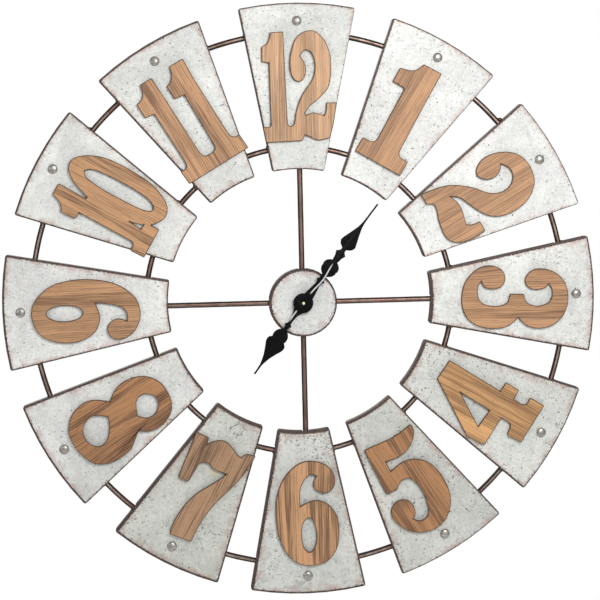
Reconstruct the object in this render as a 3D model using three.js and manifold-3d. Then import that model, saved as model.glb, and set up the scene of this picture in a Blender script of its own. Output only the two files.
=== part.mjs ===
// Windmill wall clock: twelve galvanised sheet plates on two welded rod rings, four spokes and a
// round hub cap, cut-out wooden numerals, spade hands and a battery quartz movement.
// Millimetres, X right, Z up. The dial faces -Y, the wall is the plane y = 0, and the origin lies on
// the hands' axis. A "depth" below is a distance out from the wall, so y = -depth.
import * as THREE from "three";
import { mergeVertices } from "three/addons/utils/BufferGeometryUtils.js";
import Module from "manifold-3d";

const wasm = await Module();
wasm.setup();

// ---- Driving dimensions ----
const FIT_GAP = 0.3; // clearance that touching pieces keep
const OVERCUT = 1; // how far a cutter runs past the face it opens

// Plates
const DIAL_RADIUS = 365; // outer edge of the plates
const PLATE_INNER_RADIUS = 162;
const PLATE_MIDDLE = (DIAL_RADIUS + PLATE_INNER_RADIUS) / 2;
const PLATE_HALF_ANGLE = THREE.MathUtils.degToRad(11.3);
const PLATE_CORNER = 3;
const SHEET = 0.8; // sheet steel thickness of plates and hub cap
const FLANGE_BACK = 0.5; // depth of the folded flanges' rear edges
const PLATE_FRONT = 16; // depth of the plates' front faces
const WHEEL_X = -4; // the ring-and-plate wheel sits a little off the hands' axis
const WHEEL_Z = 2.5;

// Rod rings and spokes
const ROD_RADIUS = 3.5;
const ROD_DEPTH = 8; // depth of the rods' centre lines
const ROD_NOTCH = ROD_RADIUS + 0.6; // half-width of the flange notches that the rods lie in
const NOTCH_FRONT = ROD_DEPTH + ROD_NOTCH;
const OUTER_RING_RADIUS = 328.5;
const INNER_RING_RADIUS = 188.5;
const SPOKE_START = 31;

// Numerals and their rivets
const NUMERAL_THICKNESS = 5;
const NUMERAL_BACK = PLATE_FRONT + FIT_GAP;
const RIVET_CENTRE_RADIUS = 343; // from the wheel's centre
const RIVET_HEAD_RADIUS = 6;
const RIVET_HEAD_HEIGHT = 2.6;
const RIVET_SHANK_RADIUS = 2;
const RIVET_TAIL_HEIGHT = 1.2;

// Hanger
const HANGER_BACK = 2.2;
const HANGER_FRONT = 4.2;
const HANGER_HALF = 18;
const HANGER_CORNER = 4;
const HANGER_Z = 316; // from the wheel's centre, as the two below
const KEYHOLE_Z = 308;
const KEYHOLE_TOP_Z = 319;
const KEYHOLE_RADIUS = 6;
const KEYHOLE_SLOT_HALF = 3;

// Hub
const HUB_RADIUS = 42;
const HUB_FRONT = 18.4;
const HUB_EDGE = 1.2; // chamfer round the cap's front
const HEX_NUT_RADIUS = 6.6; // centre to corner
const HEX_NUT_THICKNESS = 2.4;
const WASHER_RADIUS = 11;
const WASHER_GAP = 0.25;

// Movement case
const CASE_HALF = 28; // the movement is a 56 mm square box
const CASE_CORNER = 3;
const CASE_WALL = 1.2;
const CASE_BACK = 1.5;
const CASE_FRONT = 16;
const CASE_INSIDE = CASE_HALF - CASE_WALL;
const CASE_FLOOR = CASE_FRONT - CASE_WALL; // depth of the front wall's inner face
const COVER_FRONT = 1.2;
const BUSH_RADIUS = 4;
const BUSH_BORE = 2.9;
const BUSH_END = 21.8;
const BUSH_HOLE = BUSH_RADIUS + FIT_GAP;

// Battery, an AA cell, and its contacts
const BATTERY_RADIUS = 7.1;
const BATTERY_LENGTH = 49;
const BATTERY_NUB_RADIUS = 2.6;
const BATTERY_NUB = 1.3;
const BATTERY_DEPTH = 8;
const BATTERY_Z = -18.6;
const BAY_TOP = BATTERY_Z + BATTERY_RADIUS + 0.5;
const CONTACT_X = 26; // inner face of the contacts where they stand against the case
const CONTACT_SHEET = 0.5;
const CONTACT_HALF = 5; // half-size of the contacts, across the cell

// Motion work
const ARBOR_DISTANCE = 9; // hands' axis to the minute wheel's arbor
const ARBOR_X = -ARBOR_DISTANCE * Math.SQRT1_2;
const ARBOR_Z = ARBOR_DISTANCE * Math.SQRT1_2;
const ARBOR_RADIUS = 1;
const ARBOR_BACK = 2.4;
const PINION_TEETH = 8;
const MINUTE_WHEEL_TEETH = 24;
const HOUR_WHEEL_TEETH = 32;
const CANNON_PINION = [6, 8.4]; // depths of each gear's two faces
const MINUTE_GEAR = [6.6, 7.8];
const SMALL_PINION = [10, 12.6];
const HOUR_GEAR = [10.6, 12];
const KNOB_RADIUS = 5;
const KNOB_FLUTES = 14;
const KNOB_FRONT = 3.6;
const SHAFT_RADIUS = 1.4;
const SHAFT_BACK = 4;
const HOUR_TUBE_RADIUS = 2.55;

// Circuit board, with its chip, and the coil that drives the movement
const BOARD = { left: 5, right: 25.5, bottom: -8, top: 25, back: 13.2, front: 14.2 };
const CHIP = { x: 15, z: -2, radius: 2.6, height: 1.4 };
const COIL = { x: 15, z: 19, depth: 8.2, half: 9.5, flange: 4.2, flangeSheet: 1.2, winding: 3.4 };

// Hands
const HOUR_HAND_ANGLE = 215.9; // degrees clockwise from twelve, in the rest pose
const MINUTE_HAND_ANGLE = 38.2;
const HAND_THICKNESS = 0.8;
const HAND_HOLE_GAP = 0.15;
const HOUR_HAND_BACK = 22.8;
const MINUTE_HAND_BACK = 25.6;
const HAND_RIB_HALF = 0.7; // pressed stiffening rib along the arm
const HAND_RIB_HEIGHT = 0.5;
const HAND_NUT_RADIUS = 3.15;
const HAND_NUT_HEIGHT = 2.9;

// ---- Materials ----
function finish(color, roughness, metalness) {
  return () => new THREE.MeshStandardMaterial({ color, roughness, metalness });
}

const galvanised = finish(0xc9ccca, 0.55, 0.6);
const zincRivet = finish(0xb9bcbb, 0.4, 0.8);
const agedSteel = finish(0x5b4a40, 0.5, 0.7);
const stainedWood = finish(0xb98a5c, 0.75, 0);
const blackPaint = finish(0x141414, 0.5, 0.2);
const brass = finish(0xc9b27a, 0.35, 0.9);
const blackRubber = finish(0x1c1c1c, 0.9, 0);
const blackPlastic = finish(0x1f1f20, 0.6, 0);
const whitePlastic = finish(0xe6e4dc, 0.5, 0);
const springSteel = finish(0xb5b7b9, 0.35, 0.9);
const cellJacket = finish(0x4a4f54, 0.4, 0.3);
const copperWire = finish(0xb06a3a, 0.4, 0.8);
const boardGreen = finish(0x2f5a3c, 0.6, 0);

// ---- Solid helpers ----
function solidFrom(geometry) {
  const bare = geometry.clone();
  bare.deleteAttribute("normal");
  bare.deleteAttribute("uv");
  const merged = mergeVertices(bare);
  const vertProperties = merged.getAttribute("position").array;
  const triVerts = new Uint32Array(merged.index.array);
  return new wasm.Manifold(new wasm.Mesh({ numProp: 3, vertProperties, triVerts }));
}

function geometryFrom(solid) {
  const { vertProperties, triVerts } = solid.getMesh();
  const geometry = new THREE.BufferGeometry();
  geometry.setAttribute("position", new THREE.BufferAttribute(vertProperties, 3));
  geometry.setIndex(new THREE.BufferAttribute(triVerts, 1));
  geometry.computeVertexNormals();
  return geometry;
}

function carve(base, cutters) {
  return geometryFrom(cutters.reduce((left, c) => left.subtract(solidFrom(c)), solidFrom(base)));
}

function join(pieces) {
  return geometryFrom(pieces.map(solidFrom).reduce((sum, piece) => sum.add(piece)));
}

// A flat outline in X-Z, filled between two depths.
function slab(shape, back, front, curveSegments = 2) {
  const depth = front - back;
  const options = { depth, bevelEnabled: false, curveSegments };
  const geometry = new THREE.ExtrudeGeometry(shape, options);
  return geometry.rotateX(Math.PI / 2).translate(0, -back, 0);
}

// A solid of revolution about Y. The profile lists [radius, depth] from the front to the back.
function turned(profile, segments) {
  const points = profile.map(([radius, depth]) => new THREE.Vector2(radius, -depth));
  return new THREE.LatheGeometry(points, segments);
}

function block(xLow, xHigh, back, front, zLow, zHigh) {
  const box = new THREE.BoxGeometry(xHigh - xLow, front - back, zHigh - zLow);
  return box.translate((xLow + xHigh) / 2, -(back + front) / 2, (zLow + zHigh) / 2);
}

function disc(radius) {
  return new THREE.Shape().absarc(0, 0, radius, 0, 2 * Math.PI);
}

function roundedSquare(half, corner, x = 0, z = 0) {
  const shape = new THREE.Shape();
  const inner = half - corner;
  [0, 1, 2, 3].forEach((quarter) => {
    const start = (quarter * Math.PI) / 2;
    const cx = x + (quarter === 1 || quarter === 2 ? -inner : inner);
    const cz = z + (quarter < 2 ? inner : -inner);
    shape.absarc(cx, cz, corner, start, start + Math.PI / 2);
  });
  return shape;
}

// A path of runs: [x, z] is a straight line there, and a list of points is a smooth curve through them.
function trace([start, ...runs]) {
  const path = new THREE.Path().moveTo(...start);
  runs.forEach((run) => {
    if (typeof run[0] === "number") path.lineTo(...run);
    else path.splineThru(run.map(([x, z]) => new THREE.Vector2(x, z)));
  });
  return path;
}

// A filled outline, turned counter-clockwise so that holes cut in it open the right way.
function filled(runs) {
  const points = trace(runs).getPoints(2);
  return new THREE.Shape(THREE.ShapeUtils.isClockWise(points) ? points.reverse() : points);
}

function piece(name, geometry, material) {
  const mesh = new THREE.Mesh(geometry, material());
  mesh.name = name;
  return mesh;
}

const clock = new THREE.Group();
const wheel = new THREE.Group(); // rings, plates, numerals and rivets
wheel.position.set(WHEEL_X, 0, WHEEL_Z);
clock.add(wheel);

// ---- Rod rings and spokes ----
function rodRing(radius, steps) {
  return new THREE.TorusGeometry(radius, ROD_RADIUS, 8, steps).rotateX(Math.PI / 2);
}

function addRings() {
  const rings = { outer_ring: [OUTER_RING_RADIUS, 76], inner_ring: [INNER_RING_RADIUS, 56] };
  Object.entries(rings).forEach(([name, [radius, steps]]) => {
    const ring = piece(name, rodRing(radius, steps), agedSteel);
    ring.position.y = -ROD_DEPTH;
    wheel.add(ring);
  });
}

// Distance from the hands' axis to the inner ring's rod along a direction in the dial.
function reachToInnerRing(x, z) {
  const along = x * WHEEL_X + z * WHEEL_Z;
  const across = x * WHEEL_Z - z * WHEEL_X;
  return along + Math.sqrt((INNER_RING_RADIUS - ROD_RADIUS - FIT_GAP) ** 2 - across ** 2);
}

function addSpokes() {
  ["12", "3", "6", "9"].forEach((hour, quarter) => {
    const turn = (quarter * Math.PI) / 2;
    const end = reachToInnerRing(Math.sin(turn), Math.cos(turn)) - FIT_GAP;
    const rod = new THREE.CylinderGeometry(ROD_RADIUS, ROD_RADIUS, end - SPOKE_START, 10);
    rod.rotateX(Math.PI / 2).translate(0, -ROD_DEPTH, (SPOKE_START + end) / 2);
    const spoke = piece(`spoke_${hour}`, rod, agedSteel);
    spoke.rotation.y = turn;
    clock.add(spoke);
  });
}

// ---- Plates ----
// A sector outline about the wheel's centre, pointing up, drawn `inset` inside the plate's edge.
function plateOutline(inset) {
  const corner = PLATE_CORNER - inset;
  const outer = DIAL_RADIUS - inset;
  const inner = PLATE_INNER_RADIUS + inset;
  const polar = (r, a) => new THREE.Vector2(r * Math.sin(a), r * Math.cos(a));
  const outerAngle = PLATE_HALF_ANGLE - Math.asin(inset / outer);
  const innerAngle = PLATE_HALF_ANGLE - Math.asin(inset / inner);
  const outerArc = outerAngle - corner / outer;
  const innerArc = innerAngle - corner / inner;
  const ends = (side) => {
    const top = polar(outer, side * outerAngle);
    const bottom = polar(inner, side * innerAngle);
    const step = top.clone().sub(bottom).setLength(corner);
    return { top, bottom, high: top.clone().sub(step), low: bottom.clone().add(step) };
  };
  const right = ends(1);
  const left = ends(-1);
  const up = Math.PI / 2;
  const shape = new THREE.Shape().moveTo(right.low.x, right.low.y);
  shape.lineTo(right.high.x, right.high.y);
  shape.quadraticCurveTo(right.top.x, right.top.y, ...polar(outer, outerArc));
  shape.absarc(0, 0, outer, up - outerArc, up + outerArc, false);
  shape.quadraticCurveTo(left.top.x, left.top.y, left.high.x, left.high.y);
  shape.lineTo(left.low.x, left.low.y);
  shape.quadraticCurveTo(left.bottom.x, left.bottom.y, ...polar(inner, -innerArc));
  shape.absarc(0, 0, inner, up + innerArc, up - innerArc, true);
  shape.quadraticCurveTo(right.bottom.x, right.bottom.y, right.low.x, right.low.y);
  return shape;
}

// The band that a ring's rod needs through the side flanges, open to the back and swept wider than
// the plate.
function ringNotch(radius) {
  const halfSweep = Math.asin((1.2 * DIAL_RADIUS * Math.sin(PLATE_HALF_ANGLE)) / radius);
  const up = Math.PI / 2;
  const band = new THREE.Shape();
  band.absarc(0, 0, radius + ROD_NOTCH, up - halfSweep, up + halfSweep, false);
  band.absarc(0, 0, radius - ROD_NOTCH, up + halfSweep, up - halfSweep, true);
  return slab(band, -OVERCUT, NOTCH_FRONT, 4);
}

// A spoke's way through a flange, between two distances from the hands' axis.
function spokeNotch(quarter, near, far) {
  const notch = block(-ROD_NOTCH, ROD_NOTCH, -OVERCUT, NOTCH_FRONT, near, far);
  return notch.rotateY((quarter * Math.PI) / 2);
}

function plateGeometry(hour, turn) {
  const tray = slab(plateOutline(0), FLANGE_BACK, PLATE_FRONT, 3);
  const pocket = slab(plateOutline(SHEET), -OVERCUT, PLATE_FRONT - SHEET, 3);
  const holeShape = disc(RIVET_SHANK_RADIUS + FIT_GAP);
  const rivetHole = slab(holeShape, PLATE_FRONT - SHEET - OVERCUT, PLATE_FRONT + OVERCUT, 4);
  rivetHole.translate(0, 0, RIVET_CENTRE_RADIUS);
  const cutters = [pocket, ringNotch(OUTER_RING_RADIUS), ringNotch(INNER_RING_RADIUS), rivetHole];
  if (hour % 3 === 0) {
    const notch = spokeNotch(hour / 3, PLATE_INNER_RADIUS - 12, PLATE_INNER_RADIUS + 12);
    cutters.push(notch.translate(-WHEEL_X, 0, -WHEEL_Z).rotateY(-turn));
  }
  return carve(tray, cutters);
}

function rivetGeometry() {
  const head = RIVET_HEAD_RADIUS;
  const under = PLATE_FRONT + FIT_GAP;
  const inside = PLATE_FRONT - SHEET - FIT_GAP;
  const profile = [
    [0, under + RIVET_HEAD_HEIGHT],
    [head * 0.7, under + RIVET_HEAD_HEIGHT * 0.65],
    [head, under],
    [RIVET_SHANK_RADIUS, under],
    [RIVET_SHANK_RADIUS, inside],
    [head * 0.5, inside],
    [head * 0.4, inside - RIVET_TAIL_HEIGHT],
    [0, inside - RIVET_TAIL_HEIGHT],
  ];
  return turned(profile, 10).translate(0, 0, RIVET_CENTRE_RADIUS);
}

// ---- Numerals ----
// Outlines are in the plate's own plane: x across it, z from its middle towards the numeral's top.
// `slip` is how far the plate was welded past its hour mark, in degrees clockwise, and `inward`
// numerals have their tops towards the hub.
const NUMERALS = [
  {
    hour: 12,
    slip: 0.7,
    outline: [
      [-43.5, 48.5],
      [[-38, 51.5], [-35, 56], [-32.5, 65.5]],
      [-17, 66.5],
      [-12.5, -44.5],
      [[-11.5, -47.5], [-9, -48.8], [-6.5, -48.3]],
      [[-4.5, -45], [-2, -30], [3.5, -14.5], [10, -3.5], [16, 4.5], [20, 13], [21.5, 23],
        [20.5, 32], [17.5, 39.5], [12.5, 43.5], [8, 42.5], [3.5, 36.5]],
      [[7, 31.5], [10, 25], [10.5, 17.5], [8.5, 10], [5, 6], [1, 5.2], [-4.5, 8], [-8.3, 16],
        [-9.4, 27], [-8.5, 38.5], [-6, 48], [-3, 56], [2, 62], [9, 66.5], [15, 67.6], [21, 67],
        [27, 63], [32.5, 57], [37, 49], [40.3, 38], [41.5, 25], [41, 12], [38.5, 0], [35, -6],
        [29, -12.5], [21.5, -19.5], [15.5, -24], [8.8, -33]],
      [10, -35.5],
      [[18, -32.5], [25, -33.7], [32, -36]],
      [[34.5, -30], [35, -20.5]],
      [48, -20.5],
      [[46, -33], [43.5, -48], [39, -64]],
      [[33, -65.3], [26, -66.6], [20, -65.3], [14, -62], [8.8, -60]],
      [5.5, -67],
      [-39, -69],
      [-43, -49.7],
      [-35, -49.5],
      [[-33.4, -48], [-33, -45]],
      [-35, 28.5],
      [-43.5, 29.5],
    ],
  },
  {
    hour: 1,
    slip: 0.9,
    outline: [
      [-34, 44],
      [[-33.3, 46], [-26, 47.8], [-19.5, 50.3], [-15.3, 54], [-12.5, 60], [-10.7, 64]],
      [14, 64.5],
      [14.5, 20],
      [16, -40],
      [[17, -46], [21, -49.5]],
      [31.5, -49.5],
      [31.5, -69.5],
      [-32, -70],
      [-32, -51.5],
      [-30.5, -50.3],
      [-21, -50],
      [[-17, -47.5], [-15.5, -42]],
      [-17, 25],
      [-18.5, 26.5],
      [-34, 26.5],
    ],
  },
  {
    hour: 2,
    slip: 1,
    outline: [
      [-38, -69.3],
      [[-36.5, -60], [-34.5, -48], [-31, -36], [-25.5, -25.5], [-18.5, -16], [-10, -6.5],
        [-3, -1.3], [3.5, 5], [8, 12], [10.2, 20.5], [9.2, 29.5], [5, 36.4], [-0.5, 40.5],
        [-7, 41.6], [-13.5, 39.8], [-20, 35]],
      [[-14, 31], [-10.2, 24], [-9.8, 16.5], [-13, 8.7], [-18, 4], [-23.5, 2.3], [-29.5, 5],
        [-34, 11], [-37, 19], [-37, 28], [-34, 39.5], [-28, 51], [-20, 59], [-10.5, 63.6],
        [0.5, 65], [11, 63.7], [21, 59.8], [29, 52], [35, 42], [38, 31], [38.7, 20],
        [37.4, 8.7], [34, -1], [28, -9.5], [20, -15.7], [10.5, -20.7], [0, -25.3], [-8, -28.7],
        [-13, -33], [-16.5, -38.7]],
      [[-9.6, -35.8], [0, -34.1], [10.5, -35.8], [22.5, -39]],
      [[26.5, -33], [28, -22.5]],
      [41.5, -22.5],
      [[42.3, -32], [42, -42], [40, -52.5], [35.4, -62], [29, -67.3], [20.5, -69.2], [9, -68],
        [-1, -65.8], [-8, -63], [-16, -61.3], [-20, -63], [-23, -69.3]],
    ],
  },
  {
    hour: 3,
    slip: 0.1,
    outline: [
      [-13.3, 44.7],
      [[-8.8, 40.4], [-6.8, 33], [-6.8, 25.5], [-9.2, 20], [-13, 16.3], [-19, 15], [-25, 17.5],
        [-30, 23], [-32.6, 30], [-32.4, 39], [-30, 48], [-25, 56.4], [-18.3, 62.6], [-9.5, 67],
        [2, 69], [14.2, 67.7], [25.3, 63.1], [33.9, 55.2], [39.3, 45.8], [41.6, 35.2],
        [41, 25], [37.6, 16], [32.5, 9.9], [27.6, 6.3]],
      [[32.2, 1.2], [36.8, -5], [39.8, -13], [40.6, -22], [40, -33], [37.1, -43], [33, -51],
        [26, -58], [17, -62.3], [6, -64.1], [-6, -63], [-16, -60.1], [-25, -54.3],
        [-32.2, -46.4], [-36.7, -37.2], [-38, -28], [-36.4, -20], [-32.1, -13], [-25.3, -9.4],
        [-18.5, -9.4], [-13, -12], [-9.4, -18], [-8.4, -25], [-9.6, -32], [-13.2, -37],
        [-18, -39]],
      [[-13, -42.3], [-5, -43.6], [3, -42], [9, -37.3], [12, -28], [12.6, -20], [11, -12],
        [7.2, -6.4], [-2.4, -3.6]],
      [-1.5, 14],
      [[4.9, 15.4], [10, 19], [13, 26], [13.5, 33], [11, 42], [6, 46.8], [-1, 48.8],
        [-8, 47.8], [-13.3, 44.7]],
    ],
  },
  {
    hour: 4,
    slip: 0.2,
    inward: true,
    outline: [
      [-3, 68],
      [24.6, 65.7],
      [21, -8.5],
      [34, -9.7],
      [33, -29],
      [20.5, -28.5],
      [19.7, -40],
      [[21.5, -44.4], [25, -45.3]],
      [30, -45.3],
      [32, -47],
      [31.2, -65.8],
      [-22.5, -62.6],
      [-23, -44],
      [-21.3, -42.2],
      [-12, -41.2],
      [[-8.6, -38.6], [-7.7, -33]],
      [-7.6, -26.3],
      [-46.5, -24],
      [-48, -21],
      [-48, 1],
      [-44.5, 6],
    ],
    holes: [[[-30.5, -5.7], [-4, 34], [-6.6, -8.6]]],
  },
  {
    hour: 5,
    slip: -0.5,
    inward: true,
    outline: [
      [-30.5, 63.8],
      [[-20, 62.6], [-7.5, 60.8], [5, 59], [17.5, 59], [28, 60.3], [33.8, 61]],
      [[36, 59], [35.4, 53.5], [32.7, 48], [26.6, 41.4], [18.2, 36.6], [8.8, 34], [-2.3, 34.4],
        [-15, 37.3]],
      [-16.2, 24],
      [[-10, 24.9], [0, 26.2], [9.3, 24.8], [18.2, 20.9], [26, 13.7], [31.6, 4.2],
        [34.6, -7.5], [35.1, -19.3], [33.7, -32.2], [29.8, -43.7], [23.2, -54], [14, -61.8],
        [4, -65.9], [-6.5, -67], [-17.2, -64.8], [-27.2, -59.8], [-35, -53], [-41, -44],
        [-44, -35], [-45, -28], [-43, -20], [-37, -14], [-29, -12.1], [-20.5, -14.6],
        [-16, -20.3], [-14.6, -28], [-16.7, -35.7], [-20, -40.1], [-23.6, -41.2]],
      [[-20.8, -45.7], [-16.1, -48.7], [-10, -49], [-4, -45.5], [0, -37.7], [3, -27], [4, -17],
        [3.1, -6], [0.2, 2.4], [-5.1, 6.1], [-11, 6.5], [-16, 4], [-20, 0.6]],
      [-34, 1.2],
      [-36, 3],
    ],
  },
  {
    hour: 6,
    slip: -0.4,
    inward: true,
    outline: [
      [14, 45.5],
      [[10.6, 41], [9.6, 36.4], [10.2, 31.3], [13.2, 27.5], [18.2, 24.8], [24, 23.8],
        [30, 25.8], [34.4, 29.9], [37, 36.6], [36.6, 44.2], [33.7, 51.3], [28.3, 57.4],
        [21, 62], [12, 64.4], [4.9, 65], [-3.2, 63.6], [-11, 59.9], [-19, 53.6], [-27.2, 43.8],
        [-33, 31.7], [-36.7, 18.8], [-37.8, 5.2], [-37.6, -10], [-36, -24.4], [-32.4, -37.2],
        [-27, -48], [-21, -56.4], [-12, -63], [-3, -65.6], [8, -66.1], [18, -64.2],
        [26.4, -59.8], [32.9, -52.6], [37.9, -43], [40, -30], [40.2, -17], [38.7, -6.6],
        [34.1, 2.4], [28, 9.6], [20.2, 14.1], [12, 15.6], [3, 13.6], [-7, 9]],
      [[-7.4, 17.5], [-7, 26.5], [-5, 33.8], [-1, 41.5], [3.7, 46], [8.2, 48], [14, 45.5]],
    ],
    ovals: [[2.75, -27.5, 9.2, 21.5]],
  },
  {
    hour: 7,
    slip: -1.2,
    inward: true,
    outline: [
      [-39, 61.8],
      [-21.5, 62.5],
      [-20, 54.2],
      [[-16, 59.6], [-9, 65.2], [-1, 67.5], [6.8, 65.6], [14.3, 62.1], [20, 59], [25.2, 58.6]],
      [[27, 63], [29, 65.5]],
      [40, 67.9],
      [[39.9, 57], [37.6, 41], [33.9, 26], [28.1, 8.4], [23.1, -6], [20, -20], [18, -35],
        [17.6, -50], [18, -63.2]],
      [-10, -66.5],
      [[-12.4, -58], [-12.6, -44.7], [-11.1, -30], [-8, -17], [-3.2, -5.1], [3, 5.2],
        [10, 16.3], [18.3, 31.8]],
      [[10, 30.6], [0, 30.3], [-6.2, 33.4], [-13, 32.3], [-17.3, 29.3]],
      [-19.3, 3],
      [-21.5, 1.3],
      [-33.5, 1.5],
      [[-36, 30], [-38, 50], [-39, 61.8]],
    ],
  },
  {
    hour: 8,
    slip: -0.8,
    inward: true,
    outline: [
      [29.4, 10.8],
      [[34.2, 4.2], [39, -2.3], [43.5, -8.5], [45.5, -17], [46, -28], [45, -38], [42, -46.5],
        [37, -54.5], [30, -60.5], [22, -63.5], [14.5, -65.6], [4, -66.8], [-8, -65.4],
        [-17, -62.5], [-26, -55], [-32, -46.7], [-35.4, -36.2], [-36, -27], [-34, -18.5],
        [-29, -10.2], [-20.4, 0.4]],
      [[-25.6, 7], [-29.8, 15.2], [-32, 25.2], [-31, 36], [-28, 46], [-21.7, 55.4],
        [-14, 61.6], [-5, 65.5], [5, 66.5], [16, 65.4], [24.8, 62], [31.5, 56.5], [36.6, 48],
        [39.5, 38.3], [39, 28], [36, 19], [29.4, 10.8]],
    ],
    holes: [
      [
        [13, 19.5],
        [[5.8, 22.6], [-1, 26.3], [-5.1, 31.5], [-6, 37.5], [-4, 44], [0.5, 48.6], [7, 50.3],
          [14, 48.6], [20, 43], [22.3, 35], [20.7, 26.7], [13, 19.5]],
      ],
      [
        [-6, -12.3],
        [[2, -15.2], [10.2, -20.3], [17, -27], [19.6, -33], [19.4, -41], [15, -46.4],
          [9, -49.6], [3, -50], [-5, -48.2], [-11, -43.5], [-14.8, -37], [-16.5, -30],
          [-14, -22.6], [-6, -12.3]],
      ],
    ],
  },
  {
    hour: 9,
    slip: -0.9,
    outline: [
      [-15.3, -50.4],
      [[-8.2, -50.9], [-2.2, -48.8], [2.6, -42], [5.6, -32], [7.4, -21.5], [8.2, -12.8]],
      [[-3.2, -16.8], [-11, -17.9], [-20, -15.6], [-28, -10.6], [-34, -2.5], [-38, 8],
        [-39.6, 20], [-39, 32], [-36, 44], [-31, 53.6], [-24, 60], [-14, 64.4], [-3.2, 66.2],
        [6, 64.7], [14.2, 60.7], [22, 54], [28.7, 45.3], [34, 33.8], [36.6, 22], [38, 10],
        [38, -4], [36.6, -17], [34, -29.3], [30, -40], [24.2, -50], [17, -58], [10, -63.8],
        [0, -67], [-10, -67.5], [-20, -64.5], [-29, -59], [-35, -51], [-38.1, -41.6],
        [-37, -34.3], [-33, -28.8], [-26.6, -26], [-19.8, -27], [-15, -31.2], [-12, -38],
        [-12.9, -45], [-15.3, -50.4]],
    ],
    ovals: [[-3, 25.25, 9.7, 22.3]],
  },
  {
    hour: 10,
    slip: -0.4,
    outline: [
      [-41, 28],
      [-41.5, 46.5],
      [[-37, 48.2], [-33, 51.6], [-30, 56.6], [-27.4, 65]],
      [-12, 65],
      [-12.5, 27],
      [-10.5, 26.6],
      [[-7.3, 35.6], [-3, 47.3], [2, 55.6], [8, 62], [14, 64.4], [19.5, 65], [25.6, 62],
        [31.8, 55.2], [37.4, 45.2], [41.2, 34], [43.4, 22], [44.2, 8], [44, -5], [43.3, -18],
        [41.8, -31], [39, -42.5], [35, -52], [30.5, -60.5], [24.8, -66], [18, -69.2],
        [11, -69.1], [4.2, -65.7], [-3.5, -59]],
      [-3.8, -70],
      [-43, -69.7],
      [-43.5, -51.5],
      [-42, -50.7],
      [-34.5, -50],
      [[-33, -48], [-32.6, -44]],
      [-31.7, 26],
      [-39, 26.2],
    ],
    holes: [
      [
        [16.5, 44],
        [[21.3, 38.7], [24, 28], [25, 10], [25, -15], [23.5, -34], [20.5, -45.8], [15, -51.8],
          [10, -47.8], [7.4, -34.7], [6.9, -15], [7, 10], [8.7, 28.7], [11, 39], [16.5, 44]],
      ],
      [[-12, -33.5], [-14, -49.5], [-7.3, -50.3]],
    ],
  },
  {
    hour: 11,
    slip: 0.2,
    outline: [
      [-46, 27.5],
      [-46, 45.5],
      [[-40, 47], [-35.3, 49.9], [-32.2, 55.5], [-30.2, 63.9]],
      [-13.5, 64],
      [-13, 40],
      [-10.3, -44],
      [[-9, -48.7], [-5.5, -51.5]],
      [4, -51.5],
      [[8, -49.2], [9.2, -45.5]],
      [9.7, 25.5],
      [-3, 27.3],
      [-3.3, 45.7],
      [[1.6, 47.2], [6, 50.5], [9.8, 57.3], [12, 64.8]],
      [31, 64.5],
      [30, 40],
      [31.6, -40],
      [[33, -46.8], [37, -50]],
      [42.5, -50],
      [43.5, -69.7],
      [-41.5, -70.5],
      [-43, -52],
      [-38, -52.2],
      [[-34, -51], [-32, -46.5]],
      [-33.8, 24],
      [-36, 25],
      [-44.5, 25.5],
    ],
  },
];

function numeralGeometry({ outline, holes = [], ovals = [], inward = false }) {
  const shape = filled(outline);
  shape.holes.push(...holes.map((runs) => new THREE.Path(trace(runs).getPoints(2))));
  ovals.forEach(([x, z, halfWidth, halfHeight]) => {
    const oval = new THREE.EllipseCurve(x, z, halfWidth, halfHeight, 0, 2 * Math.PI);
    shape.holes.push(new THREE.Path(oval.getPoints(24)));
  });
  const board = slab(shape, NUMERAL_BACK, NUMERAL_BACK + NUMERAL_THICKNESS);
  if (inward) board.rotateY(Math.PI);
  return board.translate(0, 0, PLATE_MIDDLE);
}

function addPlates() {
  NUMERALS.forEach((numeral) => {
    const { hour, slip } = numeral;
    const turn = THREE.MathUtils.degToRad((hour % 12) * 30 + slip);
    const station = new THREE.Group();
    station.rotation.y = turn;
    station.add(piece(`plate_${hour}`, plateGeometry(hour, turn), galvanised));
    station.add(piece(`numeral_${hour}`, numeralGeometry(numeral), stainedWood));
    station.add(piece(`rivet_${hour}`, rivetGeometry(), zincRivet));
    wheel.add(station);
  });
}

// ---- Hanger: a welded steel tab with a keyhole, behind the twelve plate ----
function addHanger() {
  const tab = roundedSquare(HANGER_HALF, HANGER_CORNER, 0, HANGER_Z);
  const lean = Math.asin(KEYHOLE_SLOT_HALF / KEYHOLE_RADIUS);
  const up = Math.PI / 2;
  const keyhole = new THREE.Path();
  keyhole.absarc(0, KEYHOLE_Z, KEYHOLE_RADIUS, up + lean, up - lean + 2 * Math.PI, false);
  keyhole.absarc(0, KEYHOLE_TOP_Z, KEYHOLE_SLOT_HALF, 0, Math.PI, false);
  tab.holes.push(keyhole);
  wheel.add(piece("hanger", slab(tab, HANGER_BACK, HANGER_FRONT, 4), agedSteel));
}

// ---- Hub: the cap over the movement, with the nut and washer that clamp the movement to it ----
function addHubCap() {
  const profile = [
    [BUSH_HOLE, HUB_FRONT],
    [HUB_RADIUS - HUB_EDGE, HUB_FRONT],
    [HUB_RADIUS, HUB_FRONT - HUB_EDGE],
    [HUB_RADIUS, FLANGE_BACK],
    [HUB_RADIUS - SHEET, FLANGE_BACK],
    [HUB_RADIUS - SHEET, HUB_FRONT - SHEET],
    [BUSH_HOLE, HUB_FRONT - SHEET],
    [BUSH_HOLE, HUB_FRONT],
  ];
  const notches = [0, 1, 2, 3].map((quarter) => spokeNotch(quarter, HUB_RADIUS - 6, HUB_RADIUS + 6));
  clock.add(piece("hub_cap", carve(turned(profile, 36), notches), galvanised));
}

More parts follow.
